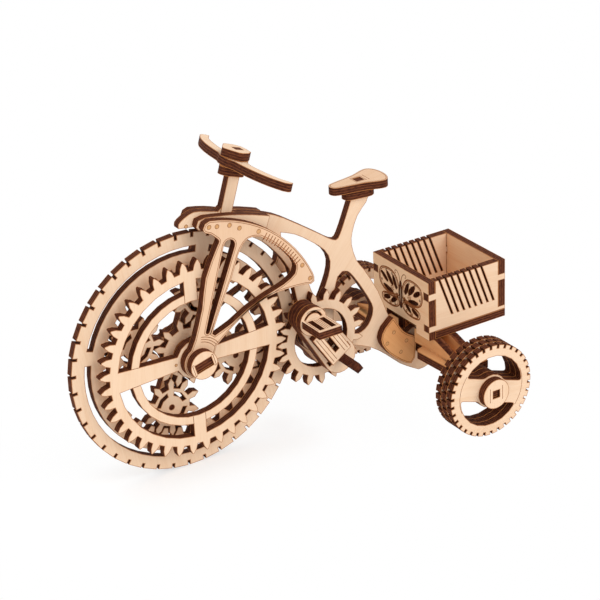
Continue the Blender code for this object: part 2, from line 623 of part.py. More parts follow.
# Axle beams: a flat plate over the axle, two upright walls and a bearing tab by the wheel
beam_low = REAR_Z + STICK_SWEEP_R + 0.1
beam_high = beam_low + PLY
wall_top = BASKET_FLOOR_Z - GAP
for side, name in SIDES:
    outer = BEAM_HALF - 1.6
    half_beam = [(-BEAM_NECK, SIDE_IN), (-BEAM_NECK, BEAM_INNER_Y - 1.6),
                 (-BEAM_HALF + 1.4, BEAM_INNER_Y), (-BEAM_HALF, BEAM_INNER_Y + 1.8),
                 (-outer, BEAM_OUTER_Y)]
    flat = [(REAR_X + x, side * y) for x, y in half_beam]
    flat += [(REAR_X - x, side * y) for x, y in half_beam[::-1]]
    beam = plate("axle_beam_" + name, "flat", [flat], beam_low, beam_high, WARM_WOOD)
    wall = [(SIDE_OUT + 0.5, beam_high - 0.4), (BEAM_OUTER_Y - 0.6, beam_high - 0.4),
            (BEAM_OUTER_Y - 0.6, beam_high + 1.6), (BASKET_HALF + 1.0, wall_top),
            (SIDE_OUT + 0.5, wall_top)]
    wall = [(side * y, z) for y, z in wall]
    for index, x in enumerate((REAR_X - BEAM_WALL - HALF, REAR_X + BEAM_WALL + HALF)):
        wall_name = "beam_wall_" + name + "_" + str(index + 1)
        add_shape(beam, plate_mesh(wall_name, "front", [wall], x - HALF, x + HALF))
    tab_top = beam_low + 0.8
    tab = [(REAR_X - 6.0, tab_top), (REAR_X - 6.0, REAR_Z)]
    tab += arc(REAR_X, REAR_Z, 6.0, 190.0, 350.0, 8)
    tab += [(REAR_X + 6.0, REAR_Z), (REAR_X + 6.0, tab_top)]
    tab_mesh = plate_mesh("bearing_tab_" + name, "side", [tab, rear_bore],
                          *span(side, BEAM_OUTER_Y - PLY - 0.6, BEAM_OUTER_Y - 0.6))
    add_shape(beam, tab_mesh)

# Basket: floor, two slotted sides, a pierced front and a plain back, all finger-jointed
back_x = BASKET_X - BASKET_LENGTH
inner_front = BASKET_X - PLY - GAP
inner_back = back_x + PLY + GAP
wall_low = FLOOR_TOP + GAP
plate("basket_floor", "flat", [rectangle(back_x, inner_front, -BASKET_HALF, BASKET_HALF)],
      BASKET_FLOOR_Z, FLOOR_TOP)
front_tabs = ((wall_low, wall_low + 2.8), (wall_low + 15.4, wall_low + 18.6))
back_tabs = ((wall_low, wall_low + 1.8), (wall_low + 14.6, wall_low + 17.6))
side_wall = []
for low, high in front_tabs:
    side_wall += [(inner_front, low), (BASKET_X, low), (BASKET_X, high), (inner_front, high)]
side_wall.append((inner_front, BASKET_TOP_Z))
for k in range(SLOT_COUNT):
    x = inner_front - 2.2 - SLOT_STEP * k
    half = SLOT_WIDE / 2
    low = BASKET_TOP_Z - SLOT_DEPTH
    side_wall += [(x + half, BASKET_TOP_Z), (x + half - SLOT_LEAN, low),
                  (x - half - SLOT_LEAN, low), (x - half, BASKET_TOP_Z)]
side_wall.append((inner_back, BASKET_TOP_Z))
for low, high in back_tabs[::-1]:
    side_wall += [(inner_back, high), (back_x, high), (back_x, low), (inner_back, low)]
for side, name in SIDES:
    plate("basket_side_" + name, "side", [side_wall], *span(side, BASKET_HALF - PLY, BASKET_HALF))


def end_wall(tabs, foot_low):
    deep = BASKET_HALF - PLY - GAP
    half = [(FOOT_INNER, wall_low)]
    if foot_low < wall_low:
        half += [(FOOT_INNER, foot_low), (BASKET_HALF, foot_low)]
    for low, high in tabs:
        if low > wall_low or foot_low < wall_low:
            half.append((BASKET_HALF, low - GAP))
        half += [(deep, low - GAP), (deep, high + GAP), (BASKET_HALF, high + GAP)]
    half.append((BASKET_HALF, BASKET_TOP_Z))
    return half + [(-y, z) for y, z in half[::-1]]


# Butterfly openings in the front wall, as shares of its half width between the tabs:
# across, up, half length, half width; and the turn in degrees
LEAVES = (
    (0.263, 0.800, 0.206, 0.074, 66.0),
    (0.480, 0.834, 0.223, 0.080, 48.0),
    (0.709, 0.811, 0.194, 0.069, 34.0),
    (0.537, 0.514, 0.251, 0.074, 14.0),
    (0.309, 0.286, 0.171, 0.069, -36.0),
    (0.617, 0.263, 0.160, 0.069, -18.0),
    (0.149, 0.434, 0.103, 0.046, 70.0),
)
wing = BASKET_HALF - PLY - GAP
leaves = []
for across, up, a, b, turn in LEAVES:
    spot_z = wall_low + 1.4 + up * wing
    leaves.append(ellipse(across * wing, spot_z, a * wing, b * wing, turn, 10))
    leaves.append(ellipse(-across * wing, spot_z, a * wing, b * wing, 180.0 - turn, 10))
plate("basket_front", "front", [end_wall(front_tabs, BASKET_FLOOR_Z)] + leaves,
      BASKET_X - PLY, BASKET_X, WARM_WOOD)
plate("basket_back", "front", [end_wall(back_tabs, wall_low)], back_x, back_x + PLY, WARM_WOOD)

# Rear wheels of three glued plies, the middle one turned by half a notch, with caps on one axle
plate("rear_axle", "side", [slab(REAR_X, REAR_Z, STICK, STICK)],
      -REAR_IN_Y - REAR_PLIES * (PLY + GAP) - PLY + 1.2,
      REAR_IN_Y + REAR_PLIES * (PLY + GAP) + PLY - 1.2, DARK_WOOD, REAR)
rear_key = slab(REAR_X, REAR_Z, STICK + HOLE_FIT, STICK + HOLE_FIT)


def kidney(start, end):
    outer = arc(REAR_X, REAR_Z, REAR_OPEN_R, start, end, 9)
    inner = arc(REAR_X, REAR_Z, REAR_CAP_R + 0.9, end - 24.0, start + 24.0, 5)
    return soften(outer + inner, 1.7)


kidneys = [kidney(38.0, 180.0), kidney(218.0, 360.0)]
for side, name in SIDES:
    for ply in range(REAR_PLIES):
        phase = 90.0 + (180.0 / REAR_NOTCHES if ply % 2 else 0.0)
        tread = notched(REAR_X, REAR_Z, REAR_R, REAR_NOTCH_DEPTH, REAR_NOTCHES, NOTCH_WIDTH, phase)
        low = REAR_IN_Y + ply * (PLY + GAP)
        plate("rear_wheel_" + name + "_" + str(ply + 1), "side", [tread, rear_key] + kidneys,
              *span(side, low, low + PLY), LIGHT_WOOD, REAR)
    low = REAR_IN_Y + REAR_PLIES * (PLY + GAP)
    plate("rear_cap_" + name, "side", [circle(REAR_X, REAR_Z, REAR_CAP_R, 28), rear_key],
          *span(side, low, low + PLY), LIGHT_WOOD, REAR)

# Saddle and the block under it, on the post's tenon
saddle_half = curve_through([
    (SEAT_X + 14.6, 0.0), (SEAT_X + 14.0, 1.9), (SEAT_X + 11.6, 3.1), (SEAT_X + 5.0, 4.2),
    (SEAT_X - 0.5, 5.3), (SEAT_X - 5.5, 7.3), (SEAT_X - 9.0, 7.9), (SEAT_X - 11.2, 6.2),
    (SEAT_X - 12.4, 3.0), (SEAT_X - 12.7, 0.0),
])
seat_hole = slab(SEAT_X, 0.0, TENON + HOLE_FIT, PLY + HOLE_FIT)
saddle = saddle_half + mirror_y(saddle_half)[1:-1]
plate("saddle", "flat", [saddle, seat_hole], SEAT_Z + PLY + GAP, SEAT_Z + 2 * PLY + GAP)
block = [(SEAT_X + x, y) for x, y in stadium(-3.0, 4.2, 5.0, 3.2, 8)]
plate("saddle_block", "flat", [block, seat_hole], SEAT_Z, SEAT_Z + PLY, WARM_WOOD)

# Stem: a foot in the frame's notch, a shoulder and a tenon that leans back
stack = STEM_RISE + 3 * PLY + 2 * GAP
stem = moved([
    (STEM_WIDE / 2, -STEM_FOOT), (STEM_WIDE / 2, STEM_RISE - GAP), (TENON / 2, STEM_RISE - GAP),
    (TENON / 2, stack), (-TENON / 2, stack), (-TENON / 2, STEM_RISE - GAP),
    (-STEM_WIDE / 2, STEM_RISE - GAP), (-STEM_WIDE / 2, -STEM_FOOT),
], STEM_X, STEM_Z, STEM_LEAN)
plate("stem", "side", [stem], -HALF, HALF)

# Handlebar stack, square to the stem: block, swept bar and clamp
tenon_hole = slab(0.0, 0.0, TENON + HOLE_FIT, PLY + HOLE_FIT)
bar_front = curve_through([
    (6.2, 0.0), (6.0, 3.2), (4.6, 6.6), (4.2, 12.0), (3.0, 20.0), (0.6, 28.0),
    (4.4 - BAR_SWEEP, BAR_HALF - 1.0),
])
bar_rear = curve_through([
    (2.6 - BAR_SWEEP, BAR_HALF), (0.0 - BAR_SWEEP, BAR_HALF - 1.4), (-3.6, 28.0), (-1.6, 20.0),
    (-0.6, 12.0), (-1.4, 7.4), (-3.6, 4.4), (-3.8, 0.0),
])
bar = bar_front + bar_rear
bar += mirror_y(bar)[1:-1]
clamp = [(7.2, 0.0), (6.6, 1.6), (3.2, 6.6), (1.6, 7.2), (-1.6, 6.4), (-4.0, 4.2), (-4.4, 0.0)]
clamp += mirror_y(clamp)[1:-1]
low_block = stadium(-1.6, 3.6, 3.4, 3.2, 8)
tilted = (
    ("handlebar_block", low_block, 0, WARM_WOOD),
    ("handlebar", bar, 1, LIGHT_WOOD),
    ("handlebar_clamp", clamp, 2, LIGHT_WOOD),
)
for name, outline, level, colour in tilted:
    low = STEM_RISE + level * (PLY + GAP)
    piece = plate(name, "flat", [outline, tenon_hole], low, low + PLY, colour)
    piece.location = (STEM_X * MM, 0, STEM_Z * MM)
    piece.rotation_euler = (0, -math.radians(STEM_LEAN), 0)

# Cutting and joining shapes stand where their pieces stand
for piece in model.objects:
    for change in piece.modifiers:
        change.object.location = piece.location
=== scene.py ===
# %% [markdown]
# # A plywood model tricycle, dressed for its portrait
# The real model is cut from birch plywood by a laser and slotted together. Its faces are pale,
# its cut edges are burnt dark brown, and thin lines are engraved on some faces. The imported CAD
# model already has each ply's outline, so this script gives every ply its wood, its burnt
# edges and its engraving, and then sets up the camera and the light.

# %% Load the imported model
import json
import math

import bmesh
import bpy
from mathutils import Matrix, Vector


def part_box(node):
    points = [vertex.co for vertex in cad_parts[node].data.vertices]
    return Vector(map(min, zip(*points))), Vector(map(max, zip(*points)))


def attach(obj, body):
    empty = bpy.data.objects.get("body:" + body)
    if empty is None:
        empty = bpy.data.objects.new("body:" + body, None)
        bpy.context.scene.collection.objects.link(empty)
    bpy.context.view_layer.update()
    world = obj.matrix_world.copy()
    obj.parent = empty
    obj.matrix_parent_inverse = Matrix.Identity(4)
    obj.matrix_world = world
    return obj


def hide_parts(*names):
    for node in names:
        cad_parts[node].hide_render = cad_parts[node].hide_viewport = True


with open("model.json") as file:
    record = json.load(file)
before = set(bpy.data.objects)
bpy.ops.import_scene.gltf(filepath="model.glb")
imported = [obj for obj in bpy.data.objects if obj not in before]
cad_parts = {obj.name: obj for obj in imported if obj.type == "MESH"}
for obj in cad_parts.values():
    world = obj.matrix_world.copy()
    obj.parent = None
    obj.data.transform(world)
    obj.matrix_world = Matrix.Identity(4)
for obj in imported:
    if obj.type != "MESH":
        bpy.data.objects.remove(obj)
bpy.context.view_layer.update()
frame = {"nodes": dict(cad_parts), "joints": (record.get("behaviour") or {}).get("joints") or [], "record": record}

MM = 0.001
record = frame["record"]
body_of = {node: body for body, nodes in record["behaviour"]["bodies"].items() for node in nodes}

# %% [markdown]
# ## Where things are
# All places are in millimetres here, in the same frame as the model: X forwards, Y to the
# left, Z up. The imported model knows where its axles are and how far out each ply's face
# stands, so both are asked for by name, and the engraving stays in step with the plies.

# %% The places that the engraving needs
X, Y, Z = range(3)
SIDES = {"left": 1, "right": -1}


def axle_at(joint):
    place = next(entry["pos_m"] for entry in frame["joints"] if entry["name"] == joint)
    return (place[X] / MM, place[Z] / MM)


def far_face(node, axis=Y):
    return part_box(node)[1][axis] / MM


HUB = axle_at("front_wheel_spin")
REAR = axle_at("rear_wheels_spin")
CRANK = axle_at("crank_spin")
PEDALS = {side: axle_at("pedal_" + side + "_spin") for side in SIDES}
FACE_GEAR = far_face("front_gear")
FACE_LEAF = far_face("side_leaf_left")
FACE_FORK = far_face("fork_plate_left")
FACE_FRAME = far_face("frame_plate")
FACE_CAP = far_face("front_cap_left")
FACE_CRANK = far_face("crank_plate_left")
FACE_REAR_WHEEL = far_face("rear_wheel_left_3")
FACE_REAR_CAP = far_face("rear_cap_left")
print("front hub", [round(v, 2) for v in HUB], "rear axle", [round(v, 2) for v in REAR])

# %% [markdown]
# ## A camera at the photograph's angle
# The photograph was taken with a long lens from the front left and above. The lens length
# and the place come from fitting the wheels' ellipses, and the small roll levels the floor
# as it is in the photograph. The camera's places are in metres.

# %% The camera
LENS = 121.7
CAMERA_AT = Vector((0.402968, 0.673610, 0.444179))
LOOK_AT = Vector((-0.007487, 0.0, 0.062564))
ROLL = -2.70

lens = bpy.data.cameras.new("portrait_lens")
lens.lens = LENS
lens.sensor_width = 36.0
lens.clip_start = 0.05
lens.clip_end = 10.0
camera = bpy.data.objects.new("portrait_camera", lens)
bpy.context.scene.collection.objects.link(camera)
aimed = (LOOK_AT - CAMERA_AT).to_track_quat("-Z", "Y").to_matrix().to_4x4()
rolled = Matrix.Rotation(math.radians(ROLL), 4, "Z")
camera.matrix_world = Matrix.Translation(CAMERA_AT) @ aimed @ rolled
bpy.context.scene.camera = camera
print("camera is", round((LOOK_AT - CAMERA_AT).length, 3), "m away")

# %% [markdown]
# ## Writing nodes as plain sums
# A material is a graph of nodes. Placing each node by hand hides the idea, so one class
# stands for a graph and another for a number in it. Adding or multiplying such numbers adds
# the Math nodes, and the recipe reads like a formula.


# %% Helpers for node graphs
class Graph:
    def __init__(self, tree):
        self.tree = tree

    def node(self, kind, settings=None, inputs=None):
        made = self.tree.nodes.new(kind)
        for name, value in (settings or {}).items():
            setattr(made, name, value)
        for key, value in (inputs or {}).items():
            self.feed(made.inputs[key], value)
        return made

    def feed(self, socket, value):
        value = getattr(value, "socket", value)
        if isinstance(value, bpy.types.NodeSocket):
            self.tree.links.new(value, socket)
        else:
            socket.default_value = value

    def number(self, socket):
        return Number(self, socket)


class Number:
    def __init__(self, graph, socket):
        self.graph = graph
        self.socket = socket

    def math(self, operation, first, second=None):
        inputs = {0: first}
        if second is not None:
            inputs[1] = second
        made = self.graph.node("ShaderNodeMath", {"operation": operation}, inputs)
        return Number(self.graph, made.outputs[0])

    def __add__(self, other):
        return self.math("ADD", self, other)

    def __radd__(self, other):
        return self.math("ADD", other, self)

    def __sub__(self, other):
        return self.math("SUBTRACT", self, other)

    def __rsub__(self, other):
        return self.math("SUBTRACT", other, self)

    def __mul__(self, other):
        return self.math("MULTIPLY", self, other)

    def __rmul__(self, other):
        return self.math("MULTIPLY", other, self)

    def __truediv__(self, other):
        return self.math("DIVIDE", self, other)

    def __abs__(self):
        return self.math("ABSOLUTE", self)

    def at_least(self, low):
        return self.math("MAXIMUM", self, low)

    def root(self):
        return self.math("SQRT", self)

    def cosine(self):
        return self.math("COSINE", self)

    def sine(self):
        return self.math("SINE", self)

    def above(self, low, high):
        settings = {"interpolation_type": "SMOOTHSTEP", "clamp": True}
        made = self.graph.node("ShaderNodeMapRange", settings, {0: self, 1: low, 2: high})
        return Number(self.graph, made.outputs[0])

    def below(self, low, high):
        return 1.0 - self.above(low, high)

    def near(self, value, width, soft):
        return abs(self - value).below(width, width + soft)


print("node helpers are ready")

# %% [markdown]
# ## Reading the ply in a shader
# The plies made below carry three attributes. "margin" is the distance from the cut in
# millimetres, and is below zero on a cut edge; "layer" runs from 0 to 1 through the
# thickness; "grain" is a place along, across and through the fibres, in millimetres. A
# pattern that reads them sits the same way on a turning gear. The noise is stretched by
# multiplying the place: a small number along the grain draws it out into a fibre.


# %% Helpers that read and mix
def attribute(graph, name, output="Fac"):
    return graph.node("ShaderNodeAttribute", {"attribute_name": name}).outputs[output]


def mix_colour(graph, factor, first, second):
    made = graph.node("ShaderNodeMix", {"data_type": "RGBA", "clamp_factor": True}, {0: factor})
    graph.feed(made.inputs[6], first)
    graph.feed(made.inputs[7], second)
    return made.outputs[2]


def noise(graph, place, stretch, detail):
    spot = graph.node("ShaderNodeVectorMath", {"operation": "MULTIPLY"}, {0: place, 1: stretch})
    inputs = {"Vector": spot.outputs[0], "Scale": 1.0, "Detail": detail, "Roughness": 0.55}
    return graph.number(graph.node("ShaderNodeTexNoise", None, inputs).outputs["Fac"])


print("attributes and noise can be read")

# %% [markdown]
# ## The face of the ply
# The veneer is pale, with long fibres, broad soft bands and short pores. The laser scorches it
# orange for up to about half a millimetre from each cut, unevenly. Some pieces also have a
# line engraved inside their outline: a dark groove with a soft halo.

# %% Veneer, scorch and border
SCORCHED = (0.380, 0.125, 0.032, 1.0)
HALO = (0.600, 0.250, 0.080, 1.0)
GROOVE = (0.240, 0.070, 0.020, 1.0)


def veneer(graph, grain, pale, fibre):
    fibres = noise(graph, grain, (0.10, 2.6, 0.4), 3.0)
    bands = noise(graph, grain, (0.018, 0.28, 0.1), 2.0)
    pores = noise(graph, grain, (0.9, 7.0, 0.5), 1.0)
    streaks = fibres.above(0.38, 0.78) * 0.55 + bands.above(0.40, 0.75) * 0.40
    streaks = streaks + pores.above(0.62, 0.80) * 0.35
    return mix_colour(graph, streaks, pale, fibre), fibres, pores


def scorched(graph, face, margin, grain):
    reach = noise(graph, grain, (0.35, 0.35, 0.35), 2.0) * 0.38 + 0.22
    scorch = 1.0 - (margin / reach).above(0.10, 1.0)
    return mix_colour(graph, scorch * 0.95, face, SCORCHED)


def bordered(graph, face, margin, border):
    halo = margin.near(border, 0.10, 0.16)
    face = mix_colour(graph, halo * 0.70, face, HALO)
    groove = margin.near(border, 0.085, 0.07)
    return mix_colour(graph, groove * 0.95, face, GROOVE), groove


print("a veneer can be scorched and bordered")

# %% [markdown]
# ## The cut edge
# The edge is nearly black, with uneven soot. Two glue lines between the three layers show as
# lighter stripes that waver a little, and the two lips, where the edge meets a face, are
# only toasted.

# %% Soot, glue lines and lips
SOOT_DARK = (0.038, 0.009, 0.006, 1.0)
SOOT_LIGHT = (0.120, 0.033, 0.014, 1.0)
GLUE = (0.300, 0.100, 0.038, 1.0)
LIP = (0.560, 0.220, 0.065, 1.0)
GLUE_PLACES = (0.335, 0.665)
GLUE_HALF = 0.016
GLUE_SOFT = 0.05


def burnt_edge(graph, layer, grain):
    soot = noise(graph, grain, (0.5, 0.5, 3.0), 3.0)
    edge = mix_colour(graph, soot.above(0.32, 0.68), SOOT_DARK, SOOT_LIGHT)
    waver = noise(graph, grain, (0.22, 0.22, 0.6), 2.0) * 0.10 - 0.05
    lower = (layer + waver).near(GLUE_PLACES[0], GLUE_HALF, GLUE_SOFT)
    upper = (layer - waver).near(GLUE_PLACES[1], GLUE_HALF, GLUE_SOFT)
    glue = lower + upper
    edge = mix_colour(graph, glue * (soot * 1.3 - 0.20), edge, GLUE)
    lip = abs(layer - 0.5).above(0.415, 0.485)
    return mix_colour(graph, lip * 0.90, edge, LIP), glue


print("a cut edge has glue lines at", GLUE_PLACES)

# %% [markdown]
# ## The woods
# One recipe makes them all from a pale and a fibre colour. The leaves, the axle beams and the
# two blocks get a darker, more orange wood. This is painted shade for the shade that falls on them,
# and partly a warmer tone. The basket's end walls get a brighter golden wood. This is painted light
# that makes up for the light they lack as they face forwards. The axles are a brown stick. The
# bump stays shallow, because veneer is sanded smooth.

# %% Plywood materials
BORDER = 0.66
PALE = (0.875, 0.640, 0.452, 1.0)
FIBRE = (0.800, 0.535, 0.340, 1.0)
# Painted shade: the warm wood is darker and more orange for the shade on the leaves, beams and blocks, partly also
# a warmer tone
WARM_AND_SHADED = (0.820, 0.445, 0.200, 1.0)
WARM_AND_SHADED_FIBRE = (0.700, 0.330, 0.130, 1.0)
# Painted light: the golden wood is brighter than the pale one, for the light that the basket's forward-facing end
# walls lack
LIT_GOLDEN = (0.930, 0.630, 0.390, 1.0)
LIT_GOLDEN_FIBRE = (0.850, 0.500, 0.270, 1.0)
STICK = (0.330, 0.160, 0.075, 1.0)
STICK_FIBRE = (0.160, 0.065, 0.032, 1.0)


def plywood(name, pale, fibre, border=None):
    wood = bpy.data.materials.new(name)
    wood.use_nodes = True
    graph = Graph(wood.node_tree)
    shader = wood.node_tree.nodes["Principled BSDF"]
    margin = graph.number(attribute(graph, "margin"))
    layer = graph.number(attribute(graph, "layer"))
    grain = attribute(graph, "grain", "Vector")

    face, fibres, pores = veneer(graph, grain, pale, fibre)
    face = scorched(graph, face, margin, grain)
    groove = None
    if border is not None:
        face, groove = bordered(graph, face, margin, border)
    edge, glue = burnt_edge(graph, layer, grain)
    cut = margin.below(-0.6, -0.4)
    graph.feed(shader.inputs["Base Color"], mix_colour(graph, cut, face, edge))
    graph.feed(shader.inputs["Roughness"], 0.52 + fibres * 0.12 + cut * 0.18)

    height = fibres * 0.5 + pores * 0.3 - cut * glue * 0.4
    if groove is not None:
        height = height - groove * 1.6
    sizes = {"Strength": 0.35, "Distance": 0.00012, "Height": height}
    graph.feed(shader.inputs["Normal"], graph.node("ShaderNodeBump", None, sizes).outputs[0])
    shader.inputs["Specular IOR Level"].default_value = 0.08
    return wood


woods = {
    "pale": plywood("pale_plywood", PALE, FIBRE),
    "pale_bordered": plywood("pale_plywood_bordered", PALE, FIBRE, BORDER),
    # The warm woods hold painted shade, partly a warmer tone
    "warm": plywood("warm_plywood", WARM_AND_SHADED, WARM_AND_SHADED_FIBRE),
    # The golden wood holds painted light
    "lit_golden": plywood("golden_plywood", LIT_GOLDEN, LIT_GOLDEN_FIBRE),
    "warm_and_shaded_bordered": plywood("warm_plywood_bordered", WARM_AND_SHADED, WARM_AND_SHADED_FIBRE, BORDER),
    "stick": plywood("stick_wood", STICK, STICK_FIBRE),
}
print("woods:", ", ".join(woods))

# %% [markdown]
# ## Which way a ply lies
# A flat ply has one direction through it, and two in its plane. Most plies stand upright
# along the model or lie flat. The handlebar leans back with the stem, the front axle is
# turned with the key holes in its caps, and the crank's axle is turned with the crank.

# %% Directions through, along and across a ply
PLY = 3.6
BAR_LEAN = 17.8
AXLE_TURN = -15.0
CRANK_TURN = math.degrees(math.atan2(PEDALS["left"][1] - CRANK[1], PEDALS["left"][0] - CRANK[0]))
DIRECTIONS = {
    "side": (Vector((0, 1, 0)), Vector((0, 0, 1)), Vector((1, 0, 0))),
    "front": (Vector((1, 0, 0)), Vector((0, 0, 1)), Vector((0, 1, 0))),
    "flat": (Vector((0, 0, 1)), Vector((1, 0, 0)), Vector((0, 1, 0))),
}
for name, turn_by in (("tilted", BAR_LEAN), ("axle", AXLE_TURN), ("crank", CRANK_TURN)):
    turn = Matrix.Rotation(math.radians(-turn_by), 3, "Y")
    DIRECTIONS[name] = tuple(turn @ direction for direction in DIRECTIONS["flat"])
print("the crank is turned by", round(CRANK_TURN, 2), "degrees")

# %% [markdown]
# ## Filling a face with few triangles
# An inset leaves the inside of a face in long thin triangles, and where its rim moved they
# can fold over each other. The inside is therefore deleted and filled again from its rim.
# Faces that hang together and look the same way are one sheet, and each is filled alone.

# %% Find the sheets and fill them
SAME_WAY = 0.9


def sheets_of(faces):
    waiting = dict.fromkeys(faces)
    sheets = []
    while waiting:
        sheet = [waiting.popitem()[0]]
        for face in sheet:
            for edge in face.edges:
                for other in edge.link_faces:
                    if other in waiting and abs(other.normal.dot(sheet[0].normal)) > SAME_WAY:
                        del waiting[other]
                        sheet.append(other)
        sheets.append(sheet)
    return sheets


def fill_again(shape, faces):
    filled = []
    for sheet in sheets_of(faces):
        inside = set(sheet)
        normal = sum((face.normal * face.calc_area() for face in sheet), Vector()).normalized()
        rim = []
        inner = []
        for edge in dict.fromkeys(edge for face in sheet for edge in face.edges):
            once = sum(face in inside for face in edge.link_faces) == 1
            (rim if once else inner).append(edge)
        bmesh.ops.delete(shape, geom=sheet, context="FACES_ONLY")
        bmesh.ops.delete(shape, geom=inner, context="EDGES")
        made = bmesh.ops.triangle_fill(
            shape, use_beauty=True, use_dissolve=False, edges=rim, normal=normal)
        filled += [item for item in made["geom"] if isinstance(item, bmesh.types.BMFace)]
    return filled


print("sheets can be filled again")

# %% [markdown]
# ## From a CAD solid to a ply
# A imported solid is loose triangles. A copy of it is merged, and its two broad faces are
# inset, which leaves a narrow ring of faces along every cut. At a sharp corner an even inset
# runs far inwards, so no corner goes further than 1.7 times the ring. A piece that is made of
# several plies, such as a pedal, names a zone for each, and each zone has its own direction.

# %% Merge the copy and inset its broad faces
RING = 0.48
WELD = 0.004
STRAIGHT = 0.995
FURTHEST = 1.7


def zone_of(zones, place):
    for test, plane in zones:
        if test(place / MM):
            return plane
    return None


def merged_copy(node):
    shape = bmesh.new()
    shape.from_mesh(frame["nodes"][node].data)
    bmesh.ops.remove_doubles(shape, verts=shape.verts, dist=WELD * MM)
    bmesh.ops.recalc_face_normals(shape, faces=shape.faces)
    return shape


def is_broad(face, zones):
    plane = zone_of(zones, face.calc_center_median())
    return plane is not None and abs(face.normal.dot(DIRECTIONS[plane][0])) > STRAIGHT


def inset(shape, zones, ring):
    broad = [face for face in shape.faces if is_broad(face, zones)]
    ring_faces = bmesh.ops.inset_region(
        shape, faces=broad, thickness=ring * MM, use_even_offset=True, use_boundary=True)["faces"]
    inner = {vert for face in broad for vert in face.verts}
    furthest = FURTHEST * ring * MM
    for vert in dict.fromkeys(vert for face in ring_faces for vert in face.verts if vert in inner):
        for edge in vert.link_edges:
            corner = edge.other_vert(vert)
            if corner not in inner and (vert.co - corner.co).length > furthest:
                vert.co = corner.co + (vert.co - corner.co).normalized() * furthest
    shape.normal_update()
    middle_faces = fill_again(shape, broad) if len(zones) == 1 else broad
    bmesh.ops.recalc_face_normals(shape, faces=shape.faces)
    return set(ring_faces + middle_faces)


print("the ring is", RING, "mm wide")

# %% [markdown]
# ## Marks for the shader
# The ring's outer corners get margin 0 and its inner corners the width of the ring, so that
# a shader can draw the scorch and a border that follow any outline, even a gear's. A ring
# narrower than the usual one still gets the usual margin, which keeps its scorch narrow too.
# The corners of a face carry margin and layer, because a face and the cut beside it share
# points but not looks. The grain is a place, so it belongs to the points.

# %% Write margin, layer and grain
ON_CUT = -1.0
STICK_LAYER = 0.2
THINNEST = 0.1
NEXT_ON_SHEET = Vector((31.0, 17.0, 7.0))


def depth_in(plane, place):
    return place.dot(DIRECTIONS[plane][0]) / MM


def depths_of(shape, level, zones):
    depths = {}
    for face in shape.faces:
        plane = zone_of(zones, face.calc_center_median())
        if plane is not None and face in level:
            low, high = depths.get(plane, (math.inf, -math.inf))
            depth = depth_in(plane, face.calc_center_median())
            depths[plane] = (min(low, depth), max(high, depth))
    return depths


def mark_cuts(shape, level, zones, ring):
    margin = shape.loops.layers.float.new("margin")
    layer = shape.loops.layers.float.new("layer")
    depths = depths_of(shape, level, zones)
    for face in shape.faces:
        plane = zone_of(zones, face.calc_center_median())
        low, high = depths.get(plane, (0.0, PLY))
        for corner in face.loops:
            at_cut = any(other not in level for other in corner.vert.link_faces)
            inwards = 0.0 if at_cut else max(ring, RING)
            corner[margin] = inwards if face in level else ON_CUT
            if plane is None:
                corner[layer] = STICK_LAYER
            else:
                share = (depth_in(plane, corner.vert.co) - low) / max(high - low, THINNEST)
                corner[layer] = min(1.0, max(0.0, share))


def lay_grain(shape, plane, grain_turn, number):
    grain = shape.verts.layers.float_vector.new("grain")
    through, along, across = DIRECTIONS[plane]
    turned = Matrix.Rotation(math.radians(grain_turn), 3, through)
    along = turned @ along
    across = turned @ across
    for vert in shape.verts:
        spot = vert.co / MM
        place = Vector((spot.dot(along), spot.dot(across), spot.dot(through)))
        vert[grain] = place + NEXT_ON_SHEET * number


print("each piece is cut", [round(v) for v in NEXT_ON_SHEET], "mm further on the sheet")

# %% [markdown]
# ## Dressing one solid
# The ply replaces the CAD node, which is hidden, rides on its body and gets its wood as its one
# material. Its curved cuts are shaded smooth and its corners sharp, by the angle between the faces.

# %% The function that dresses a solid
SHARP = 34.0
made_plies = []


def one_ply(plane):
    return ((lambda place: True, plane),)


def dress(node, zones, wood, grain_turn, ring=RING):
    shape = merged_copy(node)
    level = inset(shape, zones, ring)
    mark_cuts(shape, level, zones, ring)
    lay_grain(shape, zones[0][1], grain_turn, len(made_plies))
    for face in shape.faces:
        face.smooth = True
    mesh = bpy.data.meshes.new(node + "_ply")
    shape.to_mesh(mesh)
    shape.free()
    mesh.set_sharp_from_angle(angle=math.radians(SHARP))
    mesh.materials.append(woods[wood])
    ply = bpy.data.objects.new(node + "_ply", mesh)
    bpy.context.scene.collection.objects.link(ply)
    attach(ply, body_of[node])
    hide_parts(node)
    made_plies.append(ply)


print("ready to dress", len(body_of), "solids")

# %% [markdown]
# ## The plain plies
# Most pieces are one ply with one broad direction. The grain runs another way on each, as
# it does when pieces are nested on a sheet to waste little of it. The openings in the
# basket's front stand so close together that only a narrow ring fits between them.

# %% Dress the plain plies
FINE_RING = 0.20
